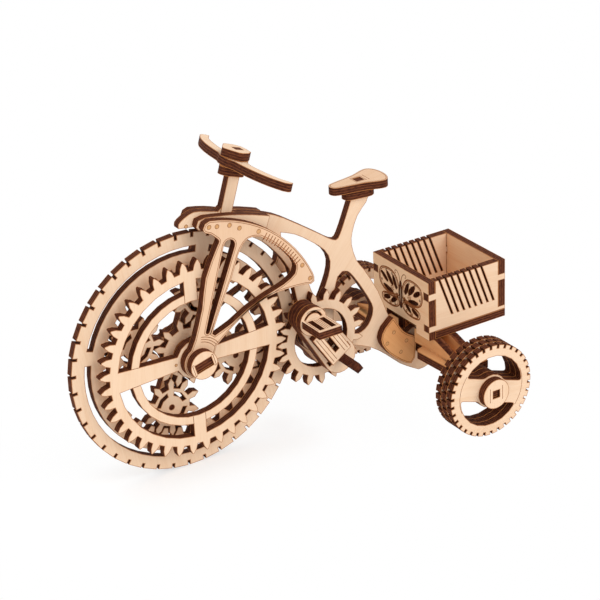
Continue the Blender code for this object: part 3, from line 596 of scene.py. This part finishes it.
# node, direction, wood, turn of the grain in degrees
PLAIN_PLIES = (
    ("front_wheel", "side", "pale", 8.0),
    ("front_gear", "side", "pale", -4.0),
    ("sun_spacer", "side", "pale", 0.0),
    ("sun_gear", "side", "pale", 60.0),
    ("front_cap_left", "side", "pale", 5.0),
    ("front_cap_right", "side", "pale", 5.0),
    ("planet_gear_1", "side", "pale", 10.0),
    ("planet_gear_2", "side", "pale", 75.0),
    ("planet_gear_3", "side", "pale", 130.0),
    ("planet_gear_4", "side", "pale", 35.0),
    ("fork_spacer_left", "side", "pale", 50.0),
    ("fork_spacer_right", "side", "pale", 50.0),
    ("frame_plate", "side", "pale", -38.0),
    ("crank_gear", "side", "pale", 20.0),
    ("crank_spacer", "side", "pale", 20.0),
    ("crank_plate_left", "side", "pale", -33.0),
    ("crank_plate_right", "side", "pale", -33.0),
    ("basket_floor", "flat", "pale", 0.0),
    ("basket_side_left", "side", "pale", 86.0),
    ("basket_side_right", "side", "pale", 86.0),
    # the basket's end walls get painted light through their golden wood
    ("basket_front", "front", "lit_golden", 90.0),
    ("basket_back", "front", "lit_golden", 90.0),
    ("rear_wheel_left_1", "side", "pale", 15.0),
    ("rear_wheel_left_2", "side", "pale", 40.0),
    ("rear_wheel_left_3", "side", "pale", 80.0),
    ("rear_wheel_right_1", "side", "pale", 15.0),
    ("rear_wheel_right_2", "side", "pale", 40.0),
    ("rear_wheel_right_3", "side", "pale", 80.0),
    ("rear_cap_left", "side", "pale", 0.0),
    ("rear_cap_right", "side", "pale", 0.0),
    # the two blocks' warm wood is painted shade, partly a warmer tone
    ("saddle_block", "flat", "warm", 0.0),
    ("stem", "side", "pale", -BAR_LEAN),
    ("handlebar_block", "tilted", "warm", 90.0),
    ("handlebar", "tilted", "pale", 90.0),
    ("handlebar_clamp", "tilted", "pale", 90.0),
    ("front_axle", "axle", "stick", 90.0),
    ("crank_axle", "crank", "stick", 90.0),
    ("rear_axle", "flat", "stick", 90.0),
)
for node, plane, wood, turn_by in PLAIN_PLIES:
    dress(node, one_ply(plane), wood, turn_by, FINE_RING if node == "basket_front" else RING)
print("dressed", len(made_plies), "plain plies")

# %% [markdown]
# ## The bordered plies
# The fork plates, the leaves on the tail and the saddle have a line engraved two thirds of a
# millimetre inside their outline. A wider ring lets the shader draw it from the margin alone.

# %% Dress the bordered plies
BORDER_RING = 0.86
# node, direction, wood, turn of the grain in degrees
BORDERED_PLIES = (
    ("fork_plate_left", "side", "pale_bordered", -6.0),
    ("fork_plate_right", "side", "pale_bordered", -6.0),
    # the leaves' warm wood is painted shade, partly a warmer tone
    ("side_leaf_left", "side", "warm_and_shaded_bordered", 40.0),
    ("side_leaf_right", "side", "warm_and_shaded_bordered", 40.0),
    ("saddle", "flat", "pale_bordered", 12.0),
)
for node, plane, wood, turn_by in BORDERED_PLIES:
    dress(node, one_ply(plane), wood, turn_by, BORDER_RING)
print("dressed", len(made_plies), "plies with the bordered ones")

# %% [markdown]
# ## Pieces of several plies
# A crank arm is two plies thick with a square stick through its tail. A pedal is a disc
# with a board standing on it. An axle beam is a flat ply with two upright walls above it and
# a bearing tab below. Each zone is a test on a place in millimetres and the direction of its
# ply. What lies in no zone, such as a stick or a pin, is burnt all over.

# %% Dress the pieces of several plies
ARM_PLIES = (5.75, 12.45)
PEDAL_DISC = (12.5, 15.81)
BEAM_PLY = (24.16, 27.87)
CARRIER_PLY = (9.5, 13.3)


def outwards(low, high=math.inf):
    return lambda place: low < abs(place.y) < high


def upwards(low, high=math.inf):
    return lambda place: low < place.z < high


arm_zones = ((outwards(*ARM_PLIES), "side"),)
pedal_zones = ((outwards(*PEDAL_DISC), "side"), (outwards(PEDAL_DISC[1]), "flat"))
beam_zones = (
    (upwards(*BEAM_PLY), "flat"),
    (upwards(BEAM_PLY[1]), "front"),
    (upwards(-math.inf, BEAM_PLY[0]), "side"),
)
for side in SIDES:
    dress("crank_arm_" + side, arm_zones, "pale", -33.0)
    dress("pedal_" + side, pedal_zones, "pale", 12.0)
    # the beams' warm wood is painted shade, partly a warmer tone
    dress("axle_beam_" + side, beam_zones, "warm", 90.0)
dress("planet_carrier", ((outwards(*CARRIER_PLY), "side"),), "pale", 25.0)
left_over = sorted(set(body_of) - {ply.name.removesuffix("_ply") for ply in made_plies})
print("dressed", len(made_plies), "solids, left over:", left_over)

# %% [markdown]
# ## What the laser leaves in a line
# A laser also draws, at low power, without cutting through. The veneer in the line is burnt
# unevenly, from dark to light brown, so a fine speckle mixes two colours. There are three
# depths: the usual line, a deep one that is nearly cut through, and a spot that is toasted.

# %% Materials of the engraving
SPECKLE = 2600.0


def engraving(name, dark, light):
    burnt = bpy.data.materials.new(name)
    burnt.use_nodes = True
    graph = Graph(burnt.node_tree)
    shader = burnt.node_tree.nodes["Principled BSDF"]
    place = graph.node("ShaderNodeTexCoord").outputs["Object"]
    speckle = noise(graph, place, (SPECKLE, SPECKLE, SPECKLE), 2.0)
    colour = mix_colour(graph, speckle.above(0.35, 0.65), dark, light)
    graph.feed(shader.inputs["Base Color"], colour)
    graph.feed(shader.inputs["Roughness"], 0.70 + speckle * 0.15)
    sizes = {"Strength": 0.3, "Distance": 0.00005, "Height": speckle}
    graph.feed(shader.inputs["Normal"], graph.node("ShaderNodeBump", None, sizes).outputs[0])
    shader.inputs["Specular IOR Level"].default_value = 0.05
    return burnt


burnt_line = engraving("burnt_line", (0.200, 0.058, 0.018, 1.0), (0.380, 0.130, 0.042, 1.0))
deep_line = engraving("deep_line", (0.070, 0.018, 0.009, 1.0), (0.130, 0.040, 0.016, 1.0))
toasted = engraving("toasted_spot", (0.560, 0.290, 0.120, 1.0), (0.700, 0.400, 0.190, 1.0))
print("engraving materials are ready")

# %% [markdown]
# ## A strip along a path
# Each line follows a path on the face, so a small Geometry Nodes tree sweeps a flat strip
# along any path: the path becomes a curve, a rectangle runs along it, and the strip gets the
# burnt material. The tree's inputs are the strip's width and height, so that one tree serves
# every line. All the trees begin and end alike, which two helpers take care of, and a third
# one sweeps the strip, for the rings of the rivets too.


# %% The tree that sweeps a strip along a path
def new_tree(name, sizes):
    tree = bpy.data.node_groups.new(name, "GeometryNodeTree")
    tree.interface.new_socket("Geometry", in_out="INPUT", socket_type="NodeSocketGeometry")
    for label, value in sizes.items():
        kind = "NodeSocketInt" if isinstance(value, int) else "NodeSocketFloat"
        tree.interface.new_socket(label, in_out="INPUT", socket_type=kind).default_value = value
    tree.interface.new_socket("Material", in_out="INPUT", socket_type="NodeSocketMaterial")
    tree.interface.new_socket("Geometry", in_out="OUTPUT", socket_type="NodeSocketGeometry")
    graph = Graph(tree)
    return tree, graph, graph.node("NodeGroupInput").outputs


def close_tree(graph, given, geometry):
    whole = graph.node("GeometryNodeRealizeInstances", None, {"Geometry": geometry})
    inputs = {"Geometry": whole.outputs[0], "Material": given["Material"]}
    painted = graph.node("GeometryNodeSetMaterial", None, inputs)
    graph.node("NodeGroupOutput", None, {"Geometry": painted.outputs[0]})


def swept(graph, given, curve, caps):
    upright = graph.node("GeometryNodeSetCurveNormal", {"mode": "Z_UP"}, {"Curve": curve})
    section = graph.node("GeometryNodeCurvePrimitiveQuadrilateral", None, {
        "Width": given["Width"], "Height": given["Height"]})
    strip = graph.node("GeometryNodeCurveToMesh", None, {
        "Curve": upright.outputs[0], "Profile Curve": section.outputs[0], "Fill Caps": caps})
    return strip.outputs[0]


strip_tree, graph, given = new_tree("engraved_strip", {"Width": 0.0003, "Height": 0.00004})
path = graph.node("GeometryNodeMeshToCurve", None, {"Mesh": given["Geometry"]})
close_tree(graph, given, swept(graph, given, path.outputs[0], True))
print("strip tree has", len(strip_tree.nodes), "nodes")

# %% [markdown]
# ## From paths on a face to a mesh
# Paths are drawn flat, in X and Y, and then stood on their face: a side face for the gears
# and the fork, the front face for the basket, a level one for the saddle. The modifier's
# result is copied to a plain mesh, so nothing live is left on the finished piece.


# %% Grow a mesh from points and edges
def grow(name, points, edges, tree, sizes, material):
    mesh = bpy.data.meshes.new(name + "_path")
    mesh.from_pydata([(x * MM, y * MM, 0.0) for x, y in points], edges, [])
    holder = bpy.data.objects.new(name + "_path", mesh)
    bpy.context.scene.collection.objects.link(holder)
    change = holder.modifiers.new("grow", "NODES")
    change.node_group = tree
    wanted = dict(sizes, Material=material)
    for item in tree.interface.items_tree:
        if item.in_out == "INPUT" and item.name in wanted:
            change[item.identifier] = wanted[item.name]
    bpy.context.view_layer.update()
    evaluated = holder.evaluated_get(bpy.context.evaluated_depsgraph_get())
    result = bpy.data.meshes.new_from_object(evaluated)
    holder.modifiers.remove(change)
    bpy.data.objects.remove(holder)
    bpy.data.meshes.remove(mesh)
    return result


def stand(plane, level):
    through, along, across = DIRECTIONS[plane]
    columns = (along, across, through) if plane == "flat" else (across, along, through)
    turned = Matrix([[column[row] for column in columns] for row in range(3)]).to_4x4()
    return Matrix.Translation(through * level * MM) @ turned


def set_on(name, result, plane, level, body):
    result.transform(stand(plane, level))
    shape = bmesh.new()
    shape.from_mesh(result)
    bmesh.ops.recalc_face_normals(shape, faces=shape.faces)
    shape.to_mesh(result)
    shape.free()
    result.name = name
    piece = bpy.data.objects.new(name, result)
    bpy.context.scene.collection.objects.link(piece)
    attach(piece, body)
    print(name, len(result.polygons), "faces")


print("meshes can be grown and stood on side, front and flat faces")

# %% [markdown]
# ## Drawing with strokes and arcs
# A line is a list of points. Arcs and turned strokes are worked out from their centre, so
# the same stroke can be drawn beside any turned piece.

# %% Paths and the engraving pen
LINE_HEIGHT = 0.05


def arc(centre, radius, first, last, count):
    spots = []
    for i in range(count + 1):
        a = math.radians(first + (last - first) * i / count)
        spots.append((centre[0] + radius * math.cos(a), centre[1] + radius * math.sin(a)))
    return spots


def turned_about(centre, turn_by, lines):
    c = math.cos(math.radians(turn_by))
    s = math.sin(math.radians(turn_by))
    return [[(centre[0] + x * c - y * s, centre[1] + x * s + y * c) for x, y in line]
            for line in lines]


def engrave(name, paths, plane, level, body, width, material=burnt_line):
    points = []
    edges = []
    for line in paths:
        first = len(points)
        points += line
        edges += [(first + i, first + i + 1) for i in range(len(line) - 1)]
    sizes = {"Width": width * MM, "Height": LINE_HEIGHT * MM}
    set_on(name, grow(name, points, edges, strip_tree, sizes, material), plane, level, body)


print("the pen draws strips", LINE_HEIGHT, "mm high")

# %% [markdown]
# ## Lines on the hubs and the wheels
# Three arcs sit over the front hub on each fork plate's outer face. Two strokes with short
# ticks frame the key hole in the left cap like brackets. On the rear wheels, two strokes
# stand beside the key hole, and two arcs follow the rim past the ends of the bar.

# %% Engrave the hubs
HUB_ARCS = (9.0, 10.1, 11.2)
HUB_ARC_ENDS = (97.0, 146.0)
KEY_X = 5.1
KEY_TICK_X = 4.3
KEY_Y = 2.7
REAR_KEY_X = 3.3
REAR_KEY_Y = 3.4
REAR_RIM = 16.9
REAR_RIM_ENDS = ((-22.0, 40.0), (158.0, 220.0))
ARC_STEPS = 10

for side, sign in SIDES.items():
    arcs = [arc(HUB, radius, *HUB_ARC_ENDS, ARC_STEPS) for radius in HUB_ARCS]
    engrave("fork_arcs_" + side, arcs, "side", sign * FACE_FORK, "frame", width=0.28)
key_lines = [[(x, -KEY_Y), (x, KEY_Y)] for x in (-KEY_X, KEY_X)]
key_lines += [[(hand * KEY_X, y), (hand * KEY_TICK_X, y)] for y in (-KEY_Y, KEY_Y) for hand in (-1, 1)]
key_lines = turned_about(HUB, AXLE_TURN, key_lines)
engrave("front_cap_lines", key_lines, "side", FACE_CAP, "drive", width=0.26)
rear_key_lines = turned_about(
    REAR, 0.0, [[(x, -REAR_KEY_Y), (x, REAR_KEY_Y)] for x in (-REAR_KEY_X, REAR_KEY_X)])
rims = [arc(REAR, REAR_RIM, first, last, ARC_STEPS) for first, last in REAR_RIM_ENDS]
for side, sign in SIDES.items():
    engrave("rear_cap_lines_" + side, rear_key_lines, "side", sign * FACE_REAR_CAP,
            "rear_wheels", width=0.26)
    engrave("rear_wheel_lines_" + side, rims, "side", sign * FACE_REAR_WHEEL,
            "rear_wheels", width=0.22)

# %% [markdown]
# ## Seams of the ring in the gear
# The gear's inner ring is cut in one piece with the bars and stubs, but a fine line is
# engraved where it would meet them, so it reads as a ring laid into the gear.

# %% Engrave the seams
RING_IN = 26.7
RING_OUT = 30.5
BAR_HALF = 3.0
STUB_HALF_IN = 4.1
STUB_HALF_OUT = 4.3
seams = []
for up in (-1, 1):
    for across in (-1, 1):
        seams.append([(across * BAR_HALF, up * RING_IN), (across * BAR_HALF, up * RING_OUT)])
        seams.append([(across * RING_IN, up * STUB_HALF_IN), (across * RING_OUT, up * STUB_HALF_OUT)])
engrave("gear_seams", turned_about(HUB, 0.0, seams), "side", FACE_GEAR, "drive", width=0.26)

# %% [markdown]
# ## The ladder on the fender
# A row of short strokes runs along the fender like the marks on a ruler. They repeat by a
# rule, so a second tree makes them: a line of points is bent into an arc by their index, and
# a thin bar is placed on each, turned with the radius.

# %% The ladder tree
# A tree's own sizes are in metres
LADDER_SIZES = {"Count": 14, "Radius": 0.05925, "First": 126.0, "Last": 147.5,
                "Centre X": HUB[0] * MM, "Centre Y": HUB[1] * MM,
                "Length": 0.0033, "Width": 0.00042, "Height": 0.00005}
ladder_tree, graph, given = new_tree("fender_ladder", LADDER_SIZES)
row = graph.node("GeometryNodeMeshLine", None, {"Count": given["Count"]})
index = graph.number(graph.node("GeometryNodeInputIndex").outputs[0])
count = graph.number(given["Count"])
first = graph.number(given["First"])
step = graph.number(given["Last"]) - first
angle = (first + step * index / (count - 1.0)) * (math.pi / 180.0)
place_x = graph.number(given["Centre X"]) + angle.cosine() * given["Radius"]
place_y = graph.number(given["Centre Y"]) + angle.sine() * given["Radius"]
place = graph.node("ShaderNodeCombineXYZ", None, {0: place_x, 1: place_y})
bent = graph.node("GeometryNodeSetPosition", None, {
    "Geometry": row.outputs[0], "Position": place.outputs[0]})
bar_size = graph.node("ShaderNodeCombineXYZ", None, {
    0: given["Length"], 1: given["Width"], 2: given["Height"]})
bar = graph.node("GeometryNodeMeshCube", None, {"Size": bar_size.outputs[0]})
facing = graph.node("ShaderNodeCombineXYZ", None, {2: angle})
bars = graph.node("GeometryNodeInstanceOnPoints", None, {
    "Points": bent.outputs[0], "Instance": bar.outputs[0], "Rotation": facing.outputs[0]})
close_tree(graph, given, bars.outputs[0])
for side, sign in SIDES.items():
    name = "ladder_" + side
    ladder = grow(name, [(0.0, 0.0)], [], ladder_tree, LADDER_SIZES, burnt_line)
    set_on(name, ladder, "side", sign * FACE_FORK, "frame")

# %% [markdown]
# ## Toasted rivets
# The rivet heads are drawings too: a round spot toasted a little darker than the veneer,
# inside a thin ring. Each is the same small shape on its own point, which is what Instance on
# Points is for. The ring and the spot need two materials, so the spot gets its own tree run.

# %% The rivet trees
RIVET_CORNERS = 20
RING_SIZES = {"Radius": 0.00095, "Width": 0.0002, "Height": 0.00007}
SPOT_SIZES = {"Radius": 0.00095, "Height": 0.00004}


def put_on_points(graph, given, geometry):
    copies = graph.node("GeometryNodeInstanceOnPoints", None, {
        "Points": given["Geometry"], "Instance": geometry})
    close_tree(graph, given, copies.outputs[0])


ring_tree, graph, given = new_tree("rivet_ring", RING_SIZES)
loop = graph.node("GeometryNodeCurvePrimitiveCircle", None, {
    "Resolution": RIVET_CORNERS, "Radius": given["Radius"]})
put_on_points(graph, given, swept(graph, given, loop.outputs[0], False))
spot_tree, graph, given = new_tree("rivet_spot", SPOT_SIZES)
disc = graph.node("GeometryNodeMeshCylinder", None, {
    "Vertices": RIVET_CORNERS, "Radius": given["Radius"], "Depth": given["Height"]})
put_on_points(graph, given, disc.outputs[0])
print("rivet trees have", len(ring_tree.nodes), "and", len(spot_tree.nodes), "nodes")

# %% [markdown]
# ## Where the rivets are
# Seven follow the fender on each side, four hold each leaf on the tail, and two small marks
# are on the frame's nose and beside the gear's hub.

# %% Draw the rivets
FORK_RIVETS = [(39.9, 113.1), (36.2, 112.4), (30.3, 111.4), (25.7, 108.9), (16.7, 104.9),
               (-3.7, 83.7), (-7.3, 76.6)]
LEAF_RIVETS = [(-52.3, 35.4), (-48.6, 30.9), (-59.0, 29.3), (-55.8, 24.5)]
NOSE_MARK = (46.4, 112.5)
GEAR_MARK = (57.8, 53.8)


def rivets(name, points, level, body, radius):
    looks = (("_rings", ring_tree, burnt_line), ("_spots", spot_tree, toasted))
    for ending, tree, material in looks:
        result = grow(name + ending, points, [], tree, {"Radius": radius * MM}, material)
        set_on(name + ending, result, "side", level, body)


for side, sign in SIDES.items():
    rivets("fork_rivets_" + side, FORK_RIVETS, sign * FACE_FORK, "frame", radius=0.95)
    rivets("leaf_rivets_" + side, LEAF_RIVETS, sign * FACE_LEAF, "frame", radius=0.85)
rivets("nose_mark", [NOSE_MARK], FACE_FRAME, "frame", radius=0.8)
rivets("gear_mark", [GEAR_MARK], FACE_GEAR, "drive", radius=0.6)

# %% [markdown]
# ## Lines on the crank and the pedals
# The face plates have two strokes along each side of their slot. The pedal boards have three
# strokes between their slots and one along each outer side. They ride on the crank and on
# each pedal, so that they turn with them.

# %% Engrave the crank and pedals
PLATE_STROKE_ENDS = (-6.0, 9.4)
PLATE_STROKES = (-4.3, -2.6, 2.6, 4.3)
BOARD_STROKE_ENDS = (18.0, 27.4)
BOARD_STROKES = (-0.9, 0.0, 0.9, -4.9, 4.9)
BOARD_HALF = 1.7
for side, sign in SIDES.items():
    strokes = [[(x, y) for x in PLATE_STROKE_ENDS] for y in PLATE_STROKES]
    strokes = turned_about(CRANK, CRANK_TURN if sign > 0 else CRANK_TURN + 180.0, strokes)
    engrave("crank_lines_" + side, strokes, "side", sign * FACE_CRANK, "crank", width=0.28)
    pin_x, pin_z = PEDALS[side]
    strokes = [[(pin_x + x, sign * y) for y in BOARD_STROKE_ENDS] for x in BOARD_STROKES]
    engrave("pedal_lines_" + side, strokes, "flat", pin_z + BOARD_HALF, "pedal_" + side, width=0.24)

# %% [markdown]
# ## The stroke on the saddle
# The saddle has one short stroke across it, by its slot.

# %% Engrave the saddle
SADDLE_TOP = far_face("saddle", Z)
SADDLE_STROKE = [(-43.4, -3.0), (-43.4, 3.0)]
engrave("saddle_line", [SADDLE_STROKE], "flat", SADDLE_TOP, "frame", width=0.24)

# %% [markdown]
# ## Smooth curves from few points
# The butterfly's wings are soft curves. A Catmull-Rom curve passes through every point that
# it is given, so a wing needs only about ten of them. A vein repeats its wing's outline, drawn
# closer to the middle, and a curl is an arc whose radius shrinks.

# %% Curves for the butterfly
SMOOTH_STEPS = 5
CURL_START = 200.0
CURL_TURNS = 1.6
CURL_STEPS = 22
CURL_SHRINKS = 0.85


def neighbours(spots, i, closed):
    if closed:
        return [spots[(i + k) % len(spots)] for k in (-1, 0, 1, 2)]
    return [spots[min(max(i + k, 0), len(spots) - 1)] for k in (-1, 0, 1, 2)]


def smooth_path(spots, closed=True):
    path = []
    for i in range(len(spots) if closed else len(spots) - 1):
        near = neighbours(spots, i, closed)
        for j in range(SMOOTH_STEPS):
            t = j / SMOOTH_STEPS
            weights = (-t + 2 * t * t - t ** 3, 2 - 5 * t * t + 3 * t ** 3,
                       t + 4 * t * t - 3 * t ** 3, t ** 3 - t * t)
            path.append(tuple(sum(w * p[axis] for w, p in zip(weights, near)) / 2 for axis in (0, 1)))
    path.append(path[0] if closed else spots[-1])
    return path


def shrunk(spots, share):
    mid_x = sum(x for x, y in spots) / len(spots)
    mid_y = sum(y for x, y in spots) / len(spots)
    return [(mid_x + (x - mid_x) * share, mid_y + (y - mid_y) * share) for x, y in spots]


def curl(centre, radius):
    spots = []
    for i in range(CURL_STEPS + 1):
        a = math.radians(CURL_START) + 2 * math.pi * CURL_TURNS * i / CURL_STEPS
        r = radius * (1.0 - CURL_SHRINKS * i / CURL_STEPS)
        spots.append((centre[0] + r * math.cos(a), centre[1] + r * math.sin(a)))
    return spots


print("a curl has", CURL_STEPS + 1, "points")

# %% [markdown]
# ## The butterfly on the basket's front
# The front wall has a butterfly of leaf-shaped openings. Engraved lines draw its wings around
# them, with a vein inside each wing, a curl, feelers, a body and small rings. One half is
# drawn, and its mirror image makes the other. Heights are above the butterfly's foot.

# %% Engrave the butterfly
FRONT_FACE = far_face("basket_front", X)
FOOT_ABOVE_FLOOR = 1.6
FOOT = far_face("basket_floor", Z) + FOOT_ABOVE_FLOOR
UPPER_WING = ((1.0, 9.4), (1.9, 14.8), (5.0, 18.5), (10.0, 19.3), (15.0, 17.9), (16.6, 14.0),
              (15.7, 10.2), (12.6, 7.9), (8.2, 7.2), (3.6, 8.0))
LOWER_WING = ((1.2, 4.6), (3.0, 7.1), (7.0, 6.5), (11.5, 6.6), (14.4, 5.2), (14.0, 2.6),
              (10.6, 1.6), (6.4, 1.6), (3.0, 2.6))
FEELER = ((0.4, 16.0), (1.0, 18.4), (2.4, 20.2), (3.9, 20.3), (4.2, 19.3), (3.4, 18.9))
EYES = ((3.0, 12.2), (14.6, 12.0), (14.9, 15.4), (11.0, 17.9), (6.6, 17.4), (12.8, 3.4),
        (4.4, 3.3), (9.0, 5.6))
EYE_SIZES = {"Radius": 0.00042, "Width": 0.0003}
UPPER_VEIN = 0.90
LOWER_VEIN = 0.84
UPPER_CURL = ((6.5, 10.7), 1.4)
LOWER_CURL = ((8.2, 3.0), 1.0)
BODY_MIDDLE = 9.6
BODY_HALF_WIDE = 0.75
BODY_HALF_HIGH = 6.4
BODY_STEPS = 28


def mirrored(paths):
    return [[(hand * x, FOOT + y) for x, y in path] for hand in (1, -1) for path in paths]


wings = (smooth_path(UPPER_WING), smooth_path(LOWER_WING))
veins = (smooth_path(shrunk(UPPER_WING, UPPER_VEIN)), curl(*UPPER_CURL),
         smooth_path(shrunk(LOWER_WING, LOWER_VEIN)), curl(*LOWER_CURL),
         smooth_path(FEELER, closed=False))
body_line = [(BODY_HALF_WIDE * x, FOOT + BODY_MIDDLE + BODY_HALF_HIGH * y)
             for x, y in arc((0.0, 0.0), 1.0, 0.0, 360.0, BODY_STEPS)]
eyes = sum(mirrored([EYES]), [])
engrave("butterfly_outline", mirrored(wings), "front", FRONT_FACE, "frame", width=0.66)
engrave("butterfly_veins", mirrored(veins), "front", FRONT_FACE, "frame", width=0.38)
engrave("butterfly_body", [body_line], "front", FRONT_FACE, "frame", width=1.10, material=deep_line)
eye_rings = grow("butterfly_eyes", eyes, [], ring_tree, EYE_SIZES, deep_line)
set_on("butterfly_eyes", eye_rings, "front", FRONT_FACE, "frame")

# %% [markdown]
# ## The floor
# The floor is a sheet of pale paper that takes the model's soft shadow. In the photograph the
# shadow is faint and soon fades to pure white. So, for the camera only, the paper glows a
# little, and white is laid over it: about half of it under the front wheel, and the whole
# from 80 mm away. Light that bounces off the paper is not changed by this.

# %% The paper floor
WHITE = (1.0, 1.0, 1.0, 1.0)
PAPER = (0.93, 0.93, 0.93, 1.0)
PAPER_GLOW = 0.16
# The band under the front wheel where the shadow is deepest, in metres
BAND_MIDDLE_X = 0.045
BAND_HALF_LONG = 0.040
BAND_HALF_WIDE = 0.004
# Shares of white: on the band, added close to it, and added further out
WHITE_ON_BAND = 0.45
WHITE_CLOSE = 0.48
WHITE_FURTHER = 0.07
CLOSE_FADE = (0.0, 0.024)
FURTHER_FADE = (0.02, 0.08)
FLOOR_HALF = 4.0


def beyond_band(graph):
    place = graph.node("ShaderNodeTexCoord").outputs["Object"]
    parts = graph.node("ShaderNodeSeparateXYZ", None, {0: place})
    past_x = abs(graph.number(parts.outputs["X"]) - BAND_MIDDLE_X) - BAND_HALF_LONG
    past_y = abs(graph.number(parts.outputs["Y"])) - BAND_HALF_WIDE
    past_x = past_x.at_least(0.0)
    past_y = past_y.at_least(0.0)
    return (past_x * past_x + past_y * past_y).root()


paper = bpy.data.materials.new("studio_paper")
paper.use_nodes = True
graph = Graph(paper.node_tree)
paper_shader = paper.node_tree.nodes["Principled BSDF"]
paper_shader.inputs["Base Color"].default_value = PAPER
paper_shader.inputs["Roughness"].default_value = 0.9
paper_shader.inputs["Specular IOR Level"].default_value = 0.0
seen = graph.number(graph.node("ShaderNodeLightPath").outputs["Is Camera Ray"])
glow = graph.node("ShaderNodeEmission", None, {"Color": WHITE, "Strength": PAPER_GLOW})
nothing = graph.node("ShaderNodeEmission", None, {"Strength": 0.0})
seen_glow = graph.node("ShaderNodeMixShader", None, {
    0: seen, 1: nothing.outputs[0], 2: glow.outputs[0]})
lit = graph.node("ShaderNodeAddShader", None, {0: paper_shader.outputs[0], 1: seen_glow.outputs[0]})
beyond = beyond_band(graph)
bleached = WHITE_ON_BAND + beyond.above(*CLOSE_FADE) * WHITE_CLOSE
bleached = bleached + beyond.above(*FURTHER_FADE) * WHITE_FURTHER
white = graph.node("ShaderNodeEmission", None, {"Color": WHITE})
surface = graph.node("ShaderNodeMixShader", None, {
    0: bleached * seen, 1: lit.outputs[0], 2: white.outputs[0]})
graph.feed(paper.node_tree.nodes["Material Output"].inputs["Surface"], surface.outputs[0])

floor_mesh = bpy.data.meshes.new("studio_floor")
corners = [(x * FLOOR_HALF, y * FLOOR_HALF, 0) for x, y in ((-1, -1), (1, -1), (1, 1), (-1, 1))]
floor_mesh.from_pydata(corners, [], [(0, 1, 2, 3)])
floor_mesh.materials.append(paper)
floor = bpy.data.objects.new("studio_floor", floor_mesh)
bpy.context.scene.collection.objects.link(floor)
print("the floor is", 2 * FLOOR_HALF, "m wide")

# %% [markdown]
# ## The light
# A broad sun from the upper left is the key light, and the world fills the shadows evenly, as
# a light tent does. The camera sees the world as pure white.

# %% World and key light
FILL = 0.86
KEY_ENERGY = 1.05
KEY_ANGLE = 40.0
KEY_COLOUR = (1.0, 0.975, 0.94)
KEY_TOWARDS = Vector((0.30, -0.72, -0.62))

world = bpy.data.worlds.new("light_tent")
bpy.context.scene.world = world
world.use_nodes = True
graph = Graph(world.node_tree)
tent = world.node_tree.nodes["Background"]
tent.inputs["Color"].default_value = WHITE
seen = graph.number(graph.node("ShaderNodeLightPath").outputs["Is Camera Ray"])
graph.feed(tent.inputs["Strength"], FILL + seen * (1.0 - FILL))

key = bpy.data.lights.new("key_light", "SUN")
key.energy = KEY_ENERGY
key.angle = math.radians(KEY_ANGLE)
key.color = KEY_COLOUR
key_lamp = bpy.data.objects.new("key_light", key)
bpy.context.scene.collection.objects.link(key_lamp)
key_lamp.rotation_mode = "QUATERNION"
key_lamp.rotation_quaternion = KEY_TOWARDS.to_track_quat("-Z", "Y")
bpy.context.scene.view_settings.view_transform = "Standard"
print("key light", KEY_ENERGY, "fill", FILL)
